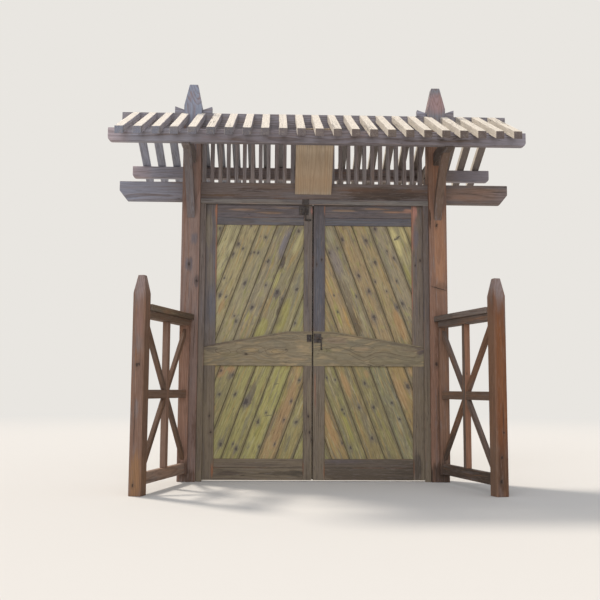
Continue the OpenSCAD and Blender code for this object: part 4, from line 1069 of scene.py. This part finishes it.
for side, word in ((-1, "left"), (1, "right")):
    look = {part: pair[side > 0] for part, pair in wings["tints"].items()}
    w, f = wings["postW"] / 2, wings["flat"] / 2
    yMid = -wings["run"] - w
    wide = Vector((side * math.cos(turn), math.sin(turn), 0))
    shoulder, tip = wings["postH"], wings["postH"] + wings["head"]
    outline = postOutline(0, w, f, shoulder, tip)
    post = member([onWing(side, px, yMid, pz) for px, pz in outline], wingLong(side), 2 * w, toUp, look["post"],
                  arris=3.5, taper=(shoulder + wings["taperUp"], f / w), tilt=0.01, rows=18,
                  marks=[(onWing(side, px, yMid - w, z), *rest) for px, z, *rest in wings["marks"][side]])
    randomKnots(post, 3, toFront, 6, 9, upTo=0.85)
    x0, z0, x1, z1, long = wings["postCrack"]
    addCrack(post, onWing(side, x0, yMid - w, z0), onWing(side, x1, yMid - w, z1), long, toFront)

    capTop, capZ, endY = wings["capTop"], wings["capTop"] - wings["capH"], wings["ledgerY"]
    topZ, bottomTop = capZ - wings["topH"], wings["bottomZ"] + wings["bottomH"]
    lx = side * wings["ledgerX"]
    ledger = bar(lx - wings["ledgerW"] / 2, lx + wings["ledgerW"] / 2, endY, endY + wings["ledgerT"],
                 wings["ledgerZ"], capZ, "z", look["ledger"],
                 marks=marksAt([(lx, 70, 170, 90, look["ledgerFoot"], 0.95)]))
    parts = {"post": [post], "ledger": [ledger]}
    capMarks = [(onWing(side, 0, -60, capTop), 420, 150, look["capEnd"], 0.9)]
    for part, z0, z1, across, end, marks in (
            ("cap", capZ, capTop, wings["capW"], -gate["postHalf"], capMarks),
            ("top_rail", topZ, capZ, wings["topW"], endY, ()),
            ("middle_rail", wings["midZ"], wings["midZ"] + wings["midH"], wings["railT"], endY, ()),
            ("bottom_rail", wings["bottomZ"], bottomTop, wings["railT"], endY, ())):
        parts[part] = [wingRail(side, z0, z1, across, end, look[part], marks)]

    # the braces run from the ledger's head and foot to the wing post and cross on the muntin
    braceRise = topZ - bottomTop - wings["braceLedger"]
    crossY = -wings["run"] * (1 - (wings["crossZ"] - bottomTop) / braceRise)
    fall = math.atan2(braceRise, wings["run"])
    t = wings["railT"] / 2 + wings["muntinProud"]
    y0, y1 = crossY - wings["muntinW"] / 2, crossY + wings["muntinW"] / 2
    corners = [onWing(side, 0, y, z) for y, z in ((y0, bottomTop), (y1, bottomTop), (y1, topZ), (y0, topZ))]
    front = [(onWing(side, 0, y0, z), 330, 13, look["muntinFront"], 1.0) for z in (150, 450, 750, 1050)]
    parts["muntin"] = [member(corners, wide, 2 * t, toUp, look["muntin"], marks=front, rows=12)]

    parts["braces"] = []
    for rise, tint in ((-1, look["braceDown"]), (1, look["braceUp"])):
        c, s = math.cos(fall), rise * math.sin(fall)
        long, h = wings["braceLong"], wings["braceW"] / 2      # too long at first, then clipped
        strip = [(crossY + u * c - v * s, wings["crossZ"] + u * s + v * c)
                 for u, v in ((-long, -h), (long, -h), (long, h), (-long, h))]
        shape = clipped(strip, -wings["run"], 0, bottomTop, topZ)
        dirt = [(onWing(side, 0, -60, 210), 420, 60, look["braceFoot"], 0.95)] if rise < 0 else []
        parts["braces"].append(member([onWing(side, 0, y, z) for y, z in shape], wide,
                                      wings["braceT"] - rise * wings["braceStep"],
                                      onWing(side, 0, c, s) - onWing(side, 0, 0, 0), tint, arris=2.5, marks=dirt))
    for part, members in parts.items():
        putPiece(word + "_wing_" + part, members, wingLarch)
print("wings done")


# Forged iron, blacked: dark and satin, dull brown where the rain has reached it
iron = dict(black="#2a2727", worn="#57504c", rust="#54402f", rustShow=0.6)
blackIron = bpy.data.materials.new("blackedForgedIron")
tree = newTree(blackIron)
place = addNode(tree, "TexCoord").outputs["Object"]
blow = addNode(tree, "TexNoise", {"Scale": 60, "Detail": 3}, {"Vector": place})     # hammer marks, 15 mm
rust = addNode(tree, "TexNoise", {"Scale": 35, "Detail": 5, "Roughness": 0.7}, {"Vector": place})
share = addNode(tree, "MapRange", eased(0.52, 0.7, iron["rustShow"]), {"Value": rust})
dark = addNode(tree, "MapRange", {"From Min": 0.35, "From Max": 0.65, "To Max": 0.85}, {"Value": blow})
base = addNode(tree, "Mix", {"data_type": "RGBA", 6: paint(iron["black"]), 7: paint(iron["worn"])}, {0: dark})
colour = addNode(tree, "Mix", {"data_type": "RGBA", 7: paint(iron["rust"])}, {0: share, 6: base.outputs[2]})
rough = addNode(tree, "MapRange", {"To Min": 0.42, "To Max": 0.7}, {"Value": rust})
bump = addNode(tree, "Bump", {"Strength": 0.4, "Distance": 0.001}, {"Height": blow})
shader = addNode(tree, "BsdfPrincipled", {"Metallic": 0.6},
                 {"Base Color": colour.outputs[2], "Roughness": rough, "Normal": bump})
addNode(tree, "OutputMaterial", links={"Surface": shader})
for node in ("jamb_hinges", "left_door_hinges", "right_door_hinges", "left_door_keeper", "left_door_bolt",
             "head_keeper", "right_door_latch"):
    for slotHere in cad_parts[node].material_slots:
        slotHere.material = blackIron
print("ironwork done")


studio = dict(floor="#d6d4d0", backdrop="#e9e6e1", room="#f4f5f8", floorHalf=60, fadeNear=6.0, fadeFar=16.0,
              sky=0.62, key=2.6, fill=1.1)
r = studio["floorHalf"]
floorMesh = bpy.data.meshes.new("floor")
floorMesh.from_pydata([(-r, -r, 0), (r, -r, 0), (r, r, 0), (-r, r, 0)], [], [(0, 1, 2, 3)])
floor = bpy.data.objects.new("floor", floorMesh)
bpy.context.collection.objects.link(floor)
ground = bpy.data.materials.new("paleStudioFloor")   # matt card that fades into the backdrop far off
tree = newTree(ground)
away = addNode(tree, "VectorMath", {"operation": "LENGTH"}, {0: addNode(tree, "TexCoord").outputs["Object"]})
fade = addNode(tree, "MapRange", eased(studio["fadeNear"], studio["fadeFar"]), {"Value": away.outputs["Value"]})
path = addNode(tree, "LightPath")
seen = addNode(tree, "Math", {"operation": "MULTIPLY"}, {0: fade, 1: path.outputs["Is Camera Ray"]})
card = addNode(tree, "BsdfDiffuse", {"Color": paint(studio["floor"])})
glow = addNode(tree, "Emission", {"Color": paint(studio["backdrop"])})
blend = addNode(tree, "MixShader", links={0: seen, 1: card, 2: glow})
addNode(tree, "OutputMaterial", links={"Surface": blend})
floorMesh.materials.append(ground)

world = bpy.data.worlds.new("studioRoom")
bpy.context.scene.world = world
tree = newTree(world)
path = addNode(tree, "LightPath").outputs
room = addNode(tree, "Background", {"Color": paint(studio["room"]), "Strength": studio["sky"]})
wall = addNode(tree, "Background", {"Color": paint(studio["backdrop"]), "Strength": 1})
isSeen = addNode(tree, "Math", {"operation": "MAXIMUM"}, {0: path["Is Camera Ray"], 1: path["Is Glossy Ray"]})
blend = addNode(tree, "MixShader", links={0: isSeen, 1: room, 2: wall})
addNode(tree, "OutputWorld", links={"Surface": blend})


def sunLamp(name, strength, angle, direction, code):
    data = bpy.data.lights.new(name, "SUN")
    data.energy = strength
    data.angle = math.radians(angle)
    data.color = paint(code)[:3]
    lamp = bpy.data.objects.new(name, data)
    bpy.context.collection.objects.link(lamp)
    lamp.rotation_mode = "QUATERNION"
    lamp.rotation_quaternion = Vector(direction).to_track_quat("-Z", "Y")


sunLamp("keyLight", studio["key"], 9, (0.62, -0.52, -1.0), "#fff5e8")     # high, from behind on the left
sunLamp("fillLight", studio["fill"], 60, (0.25, 1.0, -0.55), "#f3f5ff")   # broad, from the front

lens = dict(focal=49.44, sensor=36, x=-302, y=-6427, z=710, yaw=1.70, pitch=6.10, roll=0.32)
yaw, pitch, roll = (math.radians(lens[k]) for k in ("yaw", "pitch", "roll"))
ahead = Vector((math.sin(yaw) * math.cos(pitch), math.cos(yaw) * math.cos(pitch), math.sin(pitch)))
right = Vector((math.cos(yaw), -math.sin(yaw), 0))
up = right.cross(ahead)
rightRolled = right * math.cos(roll) + up * math.sin(roll)
upRolled = up * math.cos(roll) - right * math.sin(roll)
cameraData = bpy.data.cameras.new("camera")
cameraData.lens = lens["focal"]
cameraData.sensor_width = lens["sensor"]
camera = bpy.data.objects.new("camera", cameraData)
bpy.context.collection.objects.link(camera)
turned = Matrix((rightRolled, upRolled, -ahead)).transposed().to_4x4()
camera.matrix_world = Matrix.Translation(at(lens["x"], lens["y"], lens["z"])) @ turned
bpy.context.scene.camera = camera
bpy.context.scene.view_settings.view_transform = "Standard"
print("stage, light and camera done")
